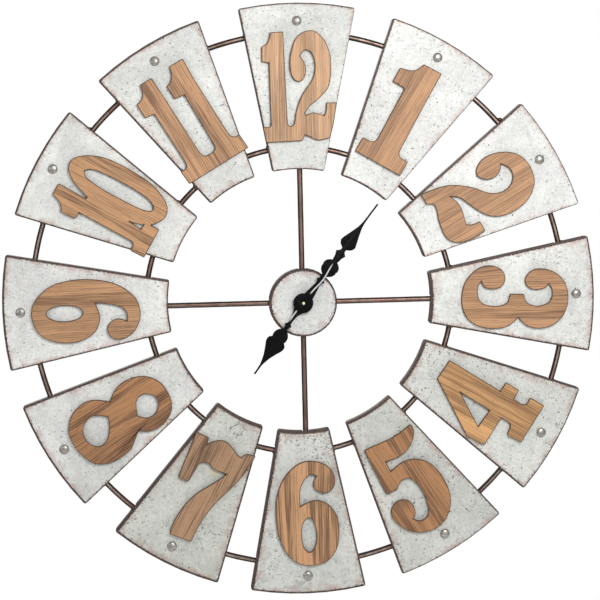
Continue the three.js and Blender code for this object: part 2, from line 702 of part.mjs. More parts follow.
function addNutAndWasher() {
  const corners = [0, 1, 2, 3, 4, 5].map((corner) => {
    const angle = (corner * Math.PI) / 3;
    return new THREE.Vector2(Math.cos(angle), Math.sin(angle)).multiplyScalar(HEX_NUT_RADIUS);
  });
  const nut = new THREE.Shape(corners);
  nut.holes.push(disc(BUSH_HOLE));
  const nutBack = HUB_FRONT + FIT_GAP;
  clock.add(piece("hex_nut", slab(nut, nutBack, nutBack + HEX_NUT_THICKNESS, 6), brass));

  const washer = disc(WASHER_RADIUS);
  washer.holes.push(disc(BUSH_HOLE));
  const washerFront = HUB_FRONT - SHEET - WASHER_GAP;
  const washerSlab = slab(washer, CASE_FRONT + WASHER_GAP, washerFront, 7);
  clock.add(piece("rubber_washer", washerSlab, blackRubber));
}

// ---- Quartz movement ----
function addCase() {
  const box = slab(roundedSquare(CASE_HALF, CASE_CORNER), CASE_BACK, CASE_FRONT, 3);
  const bushEdge = 0.4;
  const bush = turned(
    [
      [0, BUSH_END],
      [BUSH_RADIUS - bushEdge, BUSH_END],
      [BUSH_RADIUS, BUSH_END - bushEdge],
      [BUSH_RADIUS, CASE_FRONT - CASE_WALL / 2],
      [0, CASE_FRONT - CASE_WALL / 2],
    ],
    16,
  );
  const bayWallTop = BAY_TOP + CASE_WALL;
  const gearRoom = block(-CASE_INSIDE, CASE_INSIDE, 0, CASE_FLOOR, bayWallTop, CASE_INSIDE);
  const bayFloor = BATTERY_DEPTH + BATTERY_RADIUS + FIT_GAP;
  const bay = block(-CASE_INSIDE, CASE_INSIDE, 0, bayFloor, -CASE_INSIDE, BAY_TOP);
  const bore = slab(disc(BUSH_BORE), CASE_FLOOR - OVERCUT, BUSH_END + OVERCUT, 7);
  const body = carve(join([box, bush]), [gearRoom, bay, bore]);
  clock.add(piece("movement_case", body, blackPlastic));
}

function addRearCover() {
  const cover = roundedSquare(CASE_HALF, CASE_CORNER);
  const bay = new THREE.Path().moveTo(-CASE_INSIDE, -CASE_INSIDE);
  bay.lineTo(CASE_INSIDE, -CASE_INSIDE);
  bay.lineTo(CASE_INSIDE, BAY_TOP);
  bay.lineTo(-CASE_INSIDE, BAY_TOP);
  const well = new THREE.Path().absarc(ARBOR_X, ARBOR_Z, KNOB_RADIUS + 0.6, 0, 2 * Math.PI);
  cover.holes.push(bay, well);
  clock.add(piece("rear_cover", slab(cover, 0, COVER_FRONT, 5), blackPlastic));
}

function addBattery() {
  const half = BATTERY_LENGTH / 2;
  const edge = 0.7;
  const profile = [
    [0, -half],
    [BATTERY_RADIUS - edge, -half],
    [BATTERY_RADIUS, -half + edge],
    [BATTERY_RADIUS, half - edge],
    [BATTERY_RADIUS - edge, half],
    [BATTERY_NUB_RADIUS, half],
    [BATTERY_NUB_RADIUS, half + BATTERY_NUB],
    [0, half + BATTERY_NUB],
  ];
  const cell = new THREE.LatheGeometry(profile.map((point) => new THREE.Vector2(...point)), 16);
  const battery = piece("battery", cell.rotateZ(-Math.PI / 2), cellJacket);
  battery.position.set(0, -BATTERY_DEPTH, BATTERY_Z);
  clock.add(battery);
}

// The plus contact is a flat leaf. The minus contact is a leaf bent to a shallow V that points at the
// cell, drawn in X-Y.
function addContacts() {
  const back = BATTERY_DEPTH - CONTACT_HALF;
  const front = BATTERY_DEPTH + CONTACT_HALF;
  const low = BATTERY_Z - CONTACT_HALF;
  const high = BATTERY_Z + CONTACT_HALF;
  const plus = block(CONTACT_X, CONTACT_X + CONTACT_SHEET, back, front, low, high);
  clock.add(piece("contact_plus", plus, springSteel));

  const outside = -CONTACT_X - CONTACT_SHEET;
  const corners = [
    [outside, -back],
    [-CONTACT_X, -back],
    [1 - CONTACT_X, -BATTERY_DEPTH],
    [-CONTACT_X, -front],
    [outside, -front],
    [outside + 1, -BATTERY_DEPTH],
  ];
  const leaf = new THREE.Shape(corners.map((corner) => new THREE.Vector2(...corner)));
  const options = { depth: high - low, bevelEnabled: false };
  const spring = new THREE.ExtrudeGeometry(leaf, options).translate(0, 0, low);
  clock.add(piece("contact_minus", spring, springSteel));
}

// A spur gear's outline: straight-flanked teeth, thin enough to run with generous backlash.
function gearShape(teeth, module, phase = 0) {
  const pitch = (teeth * module) / 2;
  const step = (2 * Math.PI) / teeth;
  const tip = pitch + 0.7 * module;
  const root = pitch - 1.1 * module;
  const flank = [[root, -0.19], [tip, -0.09], [tip, 0.09], [root, 0.19]];
  const points = [];
  for (let tooth = 0; tooth < teeth; tooth += 1) {
    flank.forEach(([radius, share]) => {
      const angle = phase + (tooth + share) * step;
      points.push(new THREE.Vector2(radius * Math.cos(angle), radius * Math.sin(angle)));
    });
  }
  return new THREE.Shape(points);
}

const MINUTE_MODULE = (2 * ARBOR_DISTANCE) / (PINION_TEETH + MINUTE_WHEEL_TEETH);
const HOUR_MODULE = (2 * ARBOR_DISTANCE) / (PINION_TEETH + HOUR_WHEEL_TEETH);
const MESH_LINE = (3 * Math.PI) / 4; // direction from the hands' axis to the arbor, in X-Z

function pin(radius, back, front) {
  return turned([[0, front], [radius, front], [radius, back], [0, back]], 12);
}

// The minute shaft carries the cannon pinion, which turns the minute wheel on its arbor. The small
// pinion on the same arbor turns the hour wheel, whose tube runs round the minute shaft.
function addMotionWork() {
  const shaft = pin(SHAFT_RADIUS, SHAFT_BACK, MINUTE_HAND_BACK + 3);
  const cannonPinion = slab(gearShape(PINION_TEETH, MINUTE_MODULE, MESH_LINE), ...CANNON_PINION);
  clock.add(piece("minute_shaft", join([shaft, cannonPinion]), brass));

  const arbor = pin(ARBOR_RADIUS, ARBOR_BACK, CASE_FLOOR - FIT_GAP);
  const minutePhase = MESH_LINE + Math.PI / MINUTE_WHEEL_TEETH;
  const minuteGear = slab(gearShape(MINUTE_WHEEL_TEETH, MINUTE_MODULE, minutePhase), ...MINUTE_GEAR);
  const smallPhase = MESH_LINE + Math.PI;
  const smallPinion = slab(gearShape(PINION_TEETH, HOUR_MODULE, smallPhase), ...SMALL_PINION);
  const minuteWheel = piece("minute_wheel", join([arbor, minuteGear, smallPinion]), brass);
  minuteWheel.position.set(ARBOR_X, 0, ARBOR_Z);
  clock.add(minuteWheel);

  const hourPhase = MESH_LINE + Math.PI / HOUR_WHEEL_TEETH;
  const hourGear = slab(gearShape(HOUR_WHEEL_TEETH, HOUR_MODULE, hourPhase), ...HOUR_GEAR);
  const tube = pin(HOUR_TUBE_RADIUS, HOUR_GEAR[0] + 0.4, HOUR_HAND_BACK + 1.5);
  const tubeBore = slab(disc(SHAFT_RADIUS + FIT_GAP), SMALL_PINION[0] - OVERCUT, MINUTE_HAND_BACK, 6);
  const hourWheel = carve(join([hourGear, tube]), [tubeBore]);
  clock.add(piece("hour_wheel", hourWheel, whitePlastic));
}

function addKnob() {
  const grip = slab(gearShape(KNOB_FLUTES, (2 * KNOB_RADIUS) / (KNOB_FLUTES + 1.4)), FIT_GAP, KNOB_FRONT);
  const socket = pin(ARBOR_RADIUS + FIT_GAP, ARBOR_BACK - FIT_GAP, KNOB_FRONT + OVERCUT);
  const knob = piece("time_set_knob", carve(grip, [socket]), whitePlastic);
  knob.position.set(ARBOR_X, 0, ARBOR_Z);
  clock.add(knob);
}

function addCircuit() {
  const board = block(BOARD.left, BOARD.right, BOARD.back, BOARD.front, BOARD.bottom, BOARD.top);
  const chip = turned(
    [
      [0, BOARD.back + 0.1],
      [CHIP.radius, BOARD.back + 0.1],
      [CHIP.radius - 0.6, BOARD.back + 0.3 - CHIP.height],
      [0, BOARD.back - CHIP.height],
    ],
    12,
  );
  chip.translate(CHIP.x, 0, CHIP.z);
  clock.add(piece("circuit_board", join([board, chip]), boardGreen));

  const { half, flange, flangeSheet, winding } = COIL;
  const bobbin = [
    [0, half],
    [flange, half],
    [flange, half - flangeSheet],
    [winding, half - flangeSheet],
    [winding, flangeSheet - half],
    [flange, flangeSheet - half],
    [flange, -half],
    [0, -half],
  ];
  const driveCoil = piece("drive_coil", turned(bobbin, 12).rotateZ(-Math.PI / 2), copperWire);
  driveCoil.position.set(COIL.x, -COIL.depth, COIL.z);
  clock.add(driveCoil);
}

// ---- Hands ----
// The right edge of each hand, [half-width, distance from the axis], from its boss to its tip.
const MINUTE_BOSS = 12;
const MINUTE_EDGE = [
  [6.2, 10.3],
  [[4.8, 19], [3, 30]],
  [3.4, 32.5],
  [6, 34.8],
  [3.4, 37],
  [[3, 39.5], [3.4, 42.5]],
  [[8.4, 47], [10.3, 51.7]],
  [9.6, 52.6],
  [[10.6, 55.5], [9.4, 60], [6, 63.3], [3.7, 64.3]],
  [4.7, 71],
  [7, 76.5],
  [5.4, 77.8],
  [[3, 80.5], [3.1, 83.5]],
  [[7.3, 86], [9.8, 89.5], [10.2, 92], [9.2, 96], [6, 105], [2.8, 115]],
  [[1.8, 120], [1.2, 127], [1.05, 140], [1.05, 152]],
];
const HOUR_BOSS = 12.4;
const HOUR_EDGE = [
  [6.8, 10],
  [[4.3, 15], [2.6, 20], [2, 28.5]],
  [2.4, 30.8],
  [4.9, 33],
  [2.6, 35.4],
  [[2.5, 37.5], [3, 39.5]],
  [[6.6, 43], [9, 47], [9.5, 51], [8.7, 54.6]],
  [[11.6, 57.5], [12.3, 60.6], [11.6, 64.5], [8.8, 70], [4.4, 80]],
  [[1.7, 90], [1.15, 96], [1.05, 106]],
];

function handShape(edge, boss, holeRadius) {
  const right = trace(edge).getPoints(2);
  const left = right.map(({ x, y }) => new THREE.Vector2(-x, y)).reverse();
  const sweep = Math.acos(right[0].x / boss);
  const shape = new THREE.Shape([...right, ...left]);
  shape.absarc(0, 0, boss, Math.PI - sweep, 2 * Math.PI + sweep, false);
  shape.holes.push(disc(holeRadius));
  return shape;
}

function handGeometry(edge, boss, shaftRadius, back, ribEnds) {
  const front = back + HAND_THICKNESS;
  const blade = slab(handShape(edge, boss, shaftRadius + HAND_HOLE_GAP), back, front, 7);
  const middle = (back + front) / 2;
  const rib = block(-HAND_RIB_HALF, HAND_RIB_HALF, middle, front + HAND_RIB_HEIGHT, ...ribEnds);
  return join([blade, rib]);
}

function addHands() {
  const hour = handGeometry(HOUR_EDGE, HOUR_BOSS, HOUR_TUBE_RADIUS, HOUR_HAND_BACK, [11, 31]);
  const minute = handGeometry(MINUTE_EDGE, MINUTE_BOSS, SHAFT_RADIUS, MINUTE_HAND_BACK, [30, 60]);
  const hourHand = piece("hour_hand", hour, blackPaint);
  const minuteHand = piece("minute_hand", minute, blackPaint);
  hourHand.rotation.y = THREE.MathUtils.degToRad(HOUR_HAND_ANGLE);
  minuteHand.rotation.y = THREE.MathUtils.degToRad(MINUTE_HAND_ANGLE);
  clock.add(hourHand, minuteHand);
}

// A small domed cap nut on the end of the minute shaft.
function addHandNut() {
  const back = MINUTE_HAND_BACK + HAND_THICKNESS + FIT_GAP;
  const front = back + HAND_NUT_HEIGHT;
  const profile = [
    [0, front],
    [HAND_NUT_RADIUS * 0.6, front - 0.2],
    [HAND_NUT_RADIUS * 0.92, front - 1],
    [HAND_NUT_RADIUS, back + 1],
    [HAND_NUT_RADIUS, back],
    [0, back],
  ];
  const thread = slab(disc(SHAFT_RADIUS + 0.2), back - OVERCUT, front - 0.7, 6);
  clock.add(piece("hand_nut", carve(turned(profile, 16), [thread]), brass));
}

addRings();
addSpokes();
addPlates();
addHanger();
addHubCap();
addNutAndWasher();
addCase();
addRearCover();
addBattery();
addContacts();
addMotionWork();
addKnob();
addCircuit();
addHands();
addHandNut();

export default clock;
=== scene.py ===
"""Looks for the windmill wall clock: galvanised plates, burnt-edged wooden numerals, dark rod rings,
black hands and a quartz movement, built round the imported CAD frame. Metres, +Z up, dial towards -Y."""

import math
import random

import bmesh
import bpy
from mathutils import Matrix, Vector, noise


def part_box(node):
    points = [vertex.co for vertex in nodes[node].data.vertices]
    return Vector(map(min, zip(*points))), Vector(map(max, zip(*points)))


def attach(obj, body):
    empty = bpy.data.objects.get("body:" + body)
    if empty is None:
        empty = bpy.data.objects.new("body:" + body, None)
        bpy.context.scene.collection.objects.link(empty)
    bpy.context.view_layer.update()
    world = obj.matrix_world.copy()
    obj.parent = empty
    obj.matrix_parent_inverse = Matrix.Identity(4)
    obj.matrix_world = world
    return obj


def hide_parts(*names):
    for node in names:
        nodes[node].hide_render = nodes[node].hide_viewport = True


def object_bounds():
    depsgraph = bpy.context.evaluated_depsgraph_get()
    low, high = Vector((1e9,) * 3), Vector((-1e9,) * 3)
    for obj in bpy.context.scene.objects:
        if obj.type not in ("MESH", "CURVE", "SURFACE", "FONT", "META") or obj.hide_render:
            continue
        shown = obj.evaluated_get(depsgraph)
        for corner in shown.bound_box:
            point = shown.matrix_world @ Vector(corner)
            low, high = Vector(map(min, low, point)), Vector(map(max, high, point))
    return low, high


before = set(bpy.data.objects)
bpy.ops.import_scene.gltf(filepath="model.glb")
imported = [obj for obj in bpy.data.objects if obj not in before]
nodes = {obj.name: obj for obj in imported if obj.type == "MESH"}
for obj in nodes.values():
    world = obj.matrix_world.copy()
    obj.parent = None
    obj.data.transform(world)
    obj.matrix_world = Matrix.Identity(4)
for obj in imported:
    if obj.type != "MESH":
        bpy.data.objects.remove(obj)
cad_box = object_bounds()

MM = 0.001
HOURS = range(1, 13)

# ---- Places and sizes that come from the frame ----
ring_low, ring_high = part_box("outer_ring")
ROD_RADIUS = (ring_high.y - ring_low.y) / 2
ROD_Y = (ring_high.y + ring_low.y) / 2
WHEEL = (ring_low + ring_high) / 2  # centre of the rings and plates
OUTER_RING = (ring_high.x - ring_low.x) / 2 - ROD_RADIUS
inner_low, inner_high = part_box("inner_ring")
INNER_RING = (inner_high.x - inner_low.x) / 2 - ROD_RADIUS
DIAL_RADIUS = (cad_box[1].x - cad_box[0].x) / 2
PLATE_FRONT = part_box("plate_12")[0].y

# ---- The plate's shape, the same as in the CAD ----
PLATE_INNER = 162 * MM
PLATE_HALF_ANGLE = math.radians(11.3)
PLATE_MIDDLE = (DIAL_RADIUS + PLATE_INNER) / 2
RIVET_HEAD_HEIGHT = 2.6 * MM
RIVET_SHANK_RADIUS = 2 * MM


def rivet_direction(hour):
    """Unit vector from the wheel's centre out along an hour's plate, found from its rivet."""
    low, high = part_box(f"rivet_{hour}")
    out = (low + high) / 2 - WHEEL
    return Vector((out.x, 0, out.z)).normalized()


def across_plate(out):
    """Unit vector across a plate, to the right of its outward direction."""
    return Vector((out.z, 0, -out.x))


# ---- Node-tree helpers ----
class Shader:
    """A Principled material with short calls for the nodes that feed it."""

    def __init__(self, name):
        self.material = bpy.data.materials.new(name)
        self.material.use_nodes = True
        self.tree = self.material.node_tree
        self.surface = self.tree.nodes["Principled BSDF"]

    def add(self, kind, inputs=None, **settings):
        made = self.tree.nodes.new(kind)
        for key, value in settings.items():
            setattr(made, key, value)
        for key, value in (inputs or {}).items():
            self.feed(made.inputs[key], value)
        return made

    def feed(self, socket, value):
        if isinstance(value, bpy.types.NodeSocket):
            self.tree.links.new(value, socket)
        elif isinstance(value, bpy.types.Node):
            self.tree.links.new(value.outputs[0], socket)
        elif socket.type == "RGBA" and len(value) == 3:
            socket.default_value = (*value, 1)
        else:
            socket.default_value = value

    def math(self, operation, *values):
        made = self.add("ShaderNodeMath", operation=operation)
        for socket, value in zip(made.inputs, values):
            self.feed(socket, value)
        return made.outputs[0]

    def vector(self, operation, *values):
        made = self.add("ShaderNodeVectorMath", operation=operation)
        for socket, value in zip(made.inputs, values):
            self.feed(socket, value)
        return made.outputs["Value" if operation in ("DOT_PRODUCT", "LENGTH", "DISTANCE") else 0]

    def place(self):
        """Object coordinates: metres in the part's frame, and a moving piece takes them along."""
        return self.add("ShaderNodeTexCoord").outputs["Object"]

    def facing(self):
        """How far the surface faces the dial side: 1 on the front, 0 on walls, -1 on the back."""
        normal = self.add("ShaderNodeTexCoord").outputs["Normal"]
        return self.vector("DOT_PRODUCT", normal, (0, -1, 0))

    def noise(self, where, scale, detail, roughness):
        made = self.add("ShaderNodeTexNoise", {"Vector": where, "Scale": scale, "Detail": detail})
        made.inputs["Roughness"].default_value = roughness
        return made.outputs["Fac"]

    def cells(self, where, scale):
        """A random colour for each Voronoi cell."""
        return self.add("ShaderNodeTexVoronoi", {"Vector": where, "Scale": scale}).outputs["Color"]

    def span(self, value, low, high, to_low=0.0, to_high=1.0):
        """Maps low..high to to_low..to_high along a smooth step."""
        made = self.add("ShaderNodeMapRange", interpolation_type="SMOOTHSTEP")
        for socket, number in zip(made.inputs, (value, low, high, to_low, to_high)):
            self.feed(socket, number)
        return made.outputs[0]

    def mix(self, factor, first, second, blend="MIX"):
        made = self.add("ShaderNodeMix", data_type="RGBA", blend_type=blend)
        self.feed(made.inputs[0], factor)
        self.feed(made.inputs[6], first)
        self.feed(made.inputs[7], second)
        return made.outputs[2]

    def ramp(self, factor, stops):
        made = self.add("ShaderNodeValToRGB", {"Fac": factor})
        points = made.color_ramp.elements
        while len(points) < len(stops):
            points.new(0.5)
        for point, (position, colour) in zip(points, stops):
            point.position = position
            point.color = (*colour, 1)
        return made.outputs[0]

    def bump(self, height, distance, strength=1.0):
        made = self.add("ShaderNodeBump", {"Height": height})
        made.inputs["Distance"].default_value = distance
        made.inputs["Strength"].default_value = strength
        self.feed(self.surface.inputs["Normal"], made.outputs[0])

    def set(self, **inputs):
        for key, value in inputs.items():
            self.feed(self.surface.inputs[key.replace("_", " ")], value)
        return self.material


def srgb(red, green, blue):
    """Linear colour of an 8-bit sRGB one."""
    return tuple(
        c / 12.92 if c <= 0.04045 else ((c + 0.055) / 1.055) ** 2.4
        for c in (red / 255, green / 255, blue / 255)
    )


# ---- Galvanised sheet ----
ZINC_LIGHT = srgb(243, 243, 239)
ZINC_SHADE = srgb(214, 216, 212)
ZINC_BLUE = srgb(196, 206, 214)
ZINC_PINK = srgb(226, 212, 202)
SPECK_DARK = srgb(88, 92, 96)
BLOT_GREY = srgb(140, 146, 146)
ZINC_DULL = srgb(238, 242, 226)
STAIN_YELLOW = srgb(206, 186, 122)
RUST_BLUSH = srgb(192, 158, 144)
RUST_BROWN = srgb(112, 80, 66)
RUST_DARK = srgb(58, 44, 38)

BRIGHT, PALE, GREY, DIM = 1.0, 0.94, 0.86, 0.79  # how light a plate's zinc is: partly the plates' own tone, partly painted light and shade that makes the upper-right plates brighter and the lower-left ones darker
PLATE_LOOKS = {  # tone, how rusty the rim is, how many specks, how green and dull
    12: (PALE, 0.6, 0.7, 0.1), 1: (BRIGHT, 0.8, 0.7, 0), 2: (BRIGHT, 0.8, 0.6, 0),
    3: (BRIGHT, 1.4, 1.3, 0.1), 4: (GREY, 1.2, 1.3, 0.2), 5: (DIM, 1, 1.1, 0.3),
    6: (DIM, 1.5, 1.7, 0.2), 7: (DIM, 1.5, 1.2, 0.4), 8: (GREY, 1.1, 0.4, 0),
    9: (PALE, 1.1, 0.5, 0), 10: (PALE, 0.9, 0.5, 0.1), 11: (PALE, 1, 0.7, 0.1),
}
HUB_LOOK = (0.89, 1.6, 0.8, 0)
HUB_SEED = 23  # the plates' seeds are their hours


def zinc(shader, place, seed, edge, look):
    """Mottled zinc with specks and a rusty rim. `edge` is the distance from the sheet's edge."""
    tone, rust, specks, dull = look
    where = shader.vector("ADD", place, (seed * 0.37, seed * 0.11, seed * 0.21))
    cloud = shader.noise(where, 34, 4, 0.6)
    mottle = shader.noise(where, 300, 3, 0.6)
    grain = shader.noise(where, 820, 3, 0.75)
    value = shader.math("MULTIPLY_ADD", mottle, 0.3, shader.math("MULTIPLY", cloud, 0.25))
    value = shader.math("MULTIPLY_ADD", grain, 0.45, value)
    colour = shader.mix(shader.span(value, 0.4, 0.58), ZINC_SHADE, ZINC_LIGHT)
    blue = shader.span(shader.noise(where, 190, 3, 0.7), 0.5, 0.7, 0, 0.22)
    colour = shader.mix(blue, colour, ZINC_BLUE)
    pink = shader.span(shader.noise(where, 130, 4, 0.7), 0.52, 0.7, 0, 0.5)
    colour = shader.mix(pink, colour, ZINC_PINK)
    colour = shader.mix(dull, colour, ZINC_DULL, blend="MULTIPLY")

    blotch = shader.span(shader.noise(where, 105, 5, 0.78), 0.5, 0.66, 0, 0.2 * specks)
    colour = shader.mix(blotch, colour, BLOT_GREY)
    cluster = shader.span(shader.noise(where, 24, 2, 0.5), 0.42, 0.66, 0.25, 1.0)
    crowd = shader.math("MULTIPLY", cluster, 0.06 * specks)
    small = shader.math("ADD", shader.noise(where, 430, 1.5, 0.5), crowd)
    small = shader.span(small, 0.71, 0.74)
    large = shader.math("ADD", shader.noise(where, 210, 2.5, 0.6), crowd)
    rim_mark = shader.math("ABSOLUTE", shader.math("SUBTRACT", large, 0.715))
    rim_mark = shader.span(rim_mark, 0.016, 0.006, 0, 0.75)
    large = shader.math("MAXIMUM", shader.span(large, 0.75, 0.78), rim_mark)
    colour = shader.mix(shader.math("MULTIPLY", large, 0.75), colour, BLOT_GREY)
    colour = shader.mix(shader.math("MULTIPLY", small, 0.85), colour, SPECK_DARK)

    drift = shader.span(shader.noise(where, 70, 4, 0.7), 0.4, 0.68, 2.5 * MM * rust, 15 * MM * rust)
    blush = shader.span(shader.math("DIVIDE", edge, drift), 1, 0, 0, 0.62)
    colour = shader.mix(blush, colour, RUST_BLUSH)
    near = shader.span(edge, 7 * MM * rust, 0, 0, 0.16)
    flecks = shader.span(shader.math("ADD", shader.noise(where, 430, 3, 0.65), near), 0.66, 0.73)
    colour = shader.mix(shader.math("MULTIPLY", flecks, 0.75), colour, RUST_BROWN)
    ragged = shader.math("MULTIPLY_ADD", grain, 3.4 * MM * rust, 0.2 * MM)
    line = shader.span(shader.math("SUBTRACT", edge, ragged), 0.35 * MM, -0.35 * MM)
    # darker brown along a ragged rusty line at the edge and on every surface that faces sideways, such as
    # the flanges and bends
    wall = shader.span(shader.facing(), 0.93, 0.6)
    back = shader.span(shader.facing(), -0.3, -0.8)
    dark = shader.math("MULTIPLY", shader.math("MAXIMUM", line, wall), shader.math("SUBTRACT", 1, back))
    broad = shader.span(shader.noise(where, 9, 2, 0.5), 0.36, 0.64, 0.93 * tone, 1.06 * tone)
    toned = shader.mix(1.0, colour, broad, blend="MULTIPLY")
    edge_dark_colour = shader.mix(shader.span(mottle, 0.48, 0.85), RUST_DARK, RUST_BROWN)
    final = shader.mix(shader.math("MULTIPLY", dark, 0.94), toned, edge_dark_colour)
    height = shader.math("MULTIPLY_ADD", shader.math("MAXIMUM", small, large), -0.7, mottle)
    return final, height, dark


SHADED_SIDE = Vector((-0.8, 0, 0.45))  # edges that face up and left get a wider dark line, which is painted shade
SHADE_WIDENING = 0.9 * MM
INNER_WIDENING = 0.5 * MM  # the edges that face the hub get a wider dark line too


def plate_edge(shader, place, out):
    """Distance from a plate's edge, reckoned shorter on the edges that face up and left, where the dark
    line is widened as painted shade, and on the edge that faces the hub.
    """
    across = across_plate(out)
    from_wheel = shader.vector("SUBTRACT", place, tuple(WHEEL))
    u = shader.vector("DOT_PRODUCT", from_wheel, tuple(across))
    v = shader.vector("DOT_PRODUCT", from_wheel, tuple(out))
    squares = shader.math("ADD", shader.math("POWER", u, 2), shader.math("POWER", v, 2))
    radius = shader.math("SQRT", squares)
    angle = shader.math("ARCTAN2", u, v)
    near_side = shader.math("SINE", shader.math("ADD", PLATE_HALF_ANGLE, angle))
    far_side = shader.math("SINE", shader.math("SUBTRACT", PLATE_HALF_ANGLE, angle))
    distances = (
        (shader.math("MULTIPLY", radius, near_side), -across),
        (shader.math("MULTIPLY", radius, far_side), across),
        (shader.math("SUBTRACT", DIAL_RADIUS, radius), out),
        (shader.math("SUBTRACT", radius, PLATE_INNER + INNER_WIDENING), -out),
    )
    nearest = 1.0
    for distance, facing_out in distances:
        # painted shade: the dark line widens on edges that face up and left
        worn = SHADE_WIDENING * facing_out.dot(SHADED_SIDE)
        nearest = shader.math("MINIMUM", nearest, shader.math("SUBTRACT", distance, worn))
    return nearest


# Blemishes by hour: (across the plate, out from its middle) and radius, in millimetres.
CRACKS = {7: ((-4, -90), 17), 6: ((-18, -72), 9), 2: ((-26, -78), 8)}
STAINS = {7: ((-4, -25), 7)}


def spot(shader, u, v, centre, radius, soft):
    """1 inside a round spot on a board, fading to 0 over `soft`; all in millimetres."""
    du = shader.math("SUBTRACT", u, centre[0] * MM)
    dv = shader.math("SUBTRACT", v, centre[1] * MM)
    squares = shader.math("ADD", shader.math("POWER", du, 2), shader.math("POWER", dv, 2))
    away = shader.math("SQRT", squares)
    return shader.span(away, (radius + soft) * MM, (radius - soft) * MM)


def blemishes(shader, place, hour, colour):
    """The crazed and stained places on a few plates, given across the plate and out from its middle."""
    out = rivet_direction(hour)
    across = across_plate(out)
    from_middle = shader.vector("SUBTRACT", place, tuple(WHEEL + out * PLATE_MIDDLE))
    u = shader.vector("DOT_PRODUCT", from_middle, tuple(across))
    v = shader.vector("DOT_PRODUCT", from_middle, tuple(out))
    if hour in STAINS:
        centre, size = STAINS[hour]
        stain = spot(shader, u, v, centre, size * 0.5, size * 0.8)
        patchy = shader.span(shader.noise(place, 120, 3, 0.6), 0.35, 0.6, 0.25, 0.8)
        colour = shader.mix(shader.math("MULTIPLY", stain, patchy), colour, STAIN_YELLOW)
    if hour in CRACKS:
        centre, size = CRACKS[hour]
        shake = shader.add("ShaderNodeTexNoise", {"Vector": place, "Scale": 130}).outputs["Color"]
        shaken = shader.vector("ADD", place, shader.vector("MULTIPLY", shake, (0.01, 0.01, 0.01)))
        cells = {"Vector": shaken, "Scale": 62}
        crazing = shader.add("ShaderNodeTexVoronoi", cells, feature="DISTANCE_TO_EDGE")
        line = shader.span(crazing, 0.045, 0.015)
        broken = shader.span(shader.noise(place, 160, 3, 0.7), 0.47, 0.56)
        zone = spot(shader, u, v, centre, size, 5)
        line = shader.math("MULTIPLY", shader.math("MULTIPLY", line, broken), zone)
        colour = shader.mix(shader.math("MULTIPLY", line, 0.85), colour, SPECK_DARK)
    return colour


def plate_material(hour):
    shader = Shader(f"galvanised_plate_{hour}")
    place = shader.place()
    edge = plate_edge(shader, place, rivet_direction(hour))
    colour, height, dark = zinc(shader, place, hour, edge, PLATE_LOOKS[hour])
    colour = blemishes(shader, place, hour, colour)
    shader.bump(height, 0.3 * MM, 0.5)
    rough = shader.math("MULTIPLY_ADD", height, -0.15, 0.66)
    return shader.set(Base_Color=colour, Roughness=rough, Metallic=shader.math("MULTIPLY", dark, 0.3))


def hub_material():
    shader = Shader("galvanised_hub")
    low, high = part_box("hub_cap")
    place = shader.place()
    flat = shader.vector("MULTIPLY", place, (1, 0, 1))
    edge = shader.math("SUBTRACT", (high.x - low.x) / 2, shader.vector("LENGTH", flat))
    # painted shade: the hub's dark rim widens on the side that faces up and left
    towards = shader.vector("DOT_PRODUCT", shader.vector("NORMALIZE", flat), tuple(SHADED_SIDE))
    edge = shader.math("SUBTRACT", edge, shader.math("MULTIPLY", towards, SHADE_WIDENING))
    colour, height, dark = zinc(shader, place, HUB_SEED, edge, HUB_LOOK)
    shader.bump(height, 0.3 * MM, 0.5)
    return shader.set(Base_Color=colour, Roughness=0.6, Metallic=shader.math("MULTIPLY", dark, 0.3))


# ---- Wood ----
HONEY = srgb(196, 156, 120)
AMBER = srgb(190, 145, 97)
TAN = srgb(180, 138, 102)
OAK = srgb(172, 131, 95)
DRIFTWOOD = srgb(150, 118, 90)
CHESTNUT = srgb(152, 110, 74)
WOOD_TONES = {  # the middle tone of each numeral's board
    12: HONEY, 1: TAN, 2: TAN, 3: OAK, 4: AMBER, 5: CHESTNUT,
    6: OAK, 7: DRIFTWOOD, 8: CHESTNUT, 9: OAK, 10: OAK, 11: TAN,
}
WOOD_CONTRAST = {
    12: 0.6, 1: 0.6, 2: 0.6, 3: 0.8, 4: 0.7, 5: 0.9,
    6: 1.1, 7: 1.2, 8: 1, 9: 0.7, 10: 1, 11: 0.8,
}
WOOD_MIDDLE = 0.705  # value of the summed grain that shows the middle tone
WOOD_REACH = 0.19  # how far from it the light and dark ends are, at contrast 1
RING_SPACING = 2.9 * MM
WOOD_BURNT = srgb(66, 48, 36)
WOOD_SMOKE = srgb(96, 72, 54)
BURN_TURN = math.radians(65)  # an inside corner at least this sharp holds a burn dot
SMOKY_PATCHES = {5: ((24, 12), 17), 8: ((8, 30), 16)}  # places as for the plates' blemishes


def inside_corners(obj):
    """The sharp inside corners of a flat board's front face, where the cutter dwelt and burnt it."""
    mesh = obj.data
    to_world = obj.matrix_world
    steps = set()
    for face in mesh.polygons:
        if (to_world.to_3x3() @ face.normal).y > -0.99:
            continue
        ring = [tuple(round(c, 6) for c in to_world @ mesh.vertices[i].co) for i in face.vertices]
        steps.update(zip(ring, ring[1:] + ring[:1]))
    outline = {start: end for start, end in steps if (end, start) not in steps}
    corners = []
    for start, corner in sorted(outline.items()):
        before = Vector(corner) - Vector(start)
        after = Vector(outline[corner]) - Vector(corner)
        inwards = before.cross(after).y > 0
        if inwards and before.angle(after) > BURN_TURN:
            corners.append(Vector(corner))
    return corners


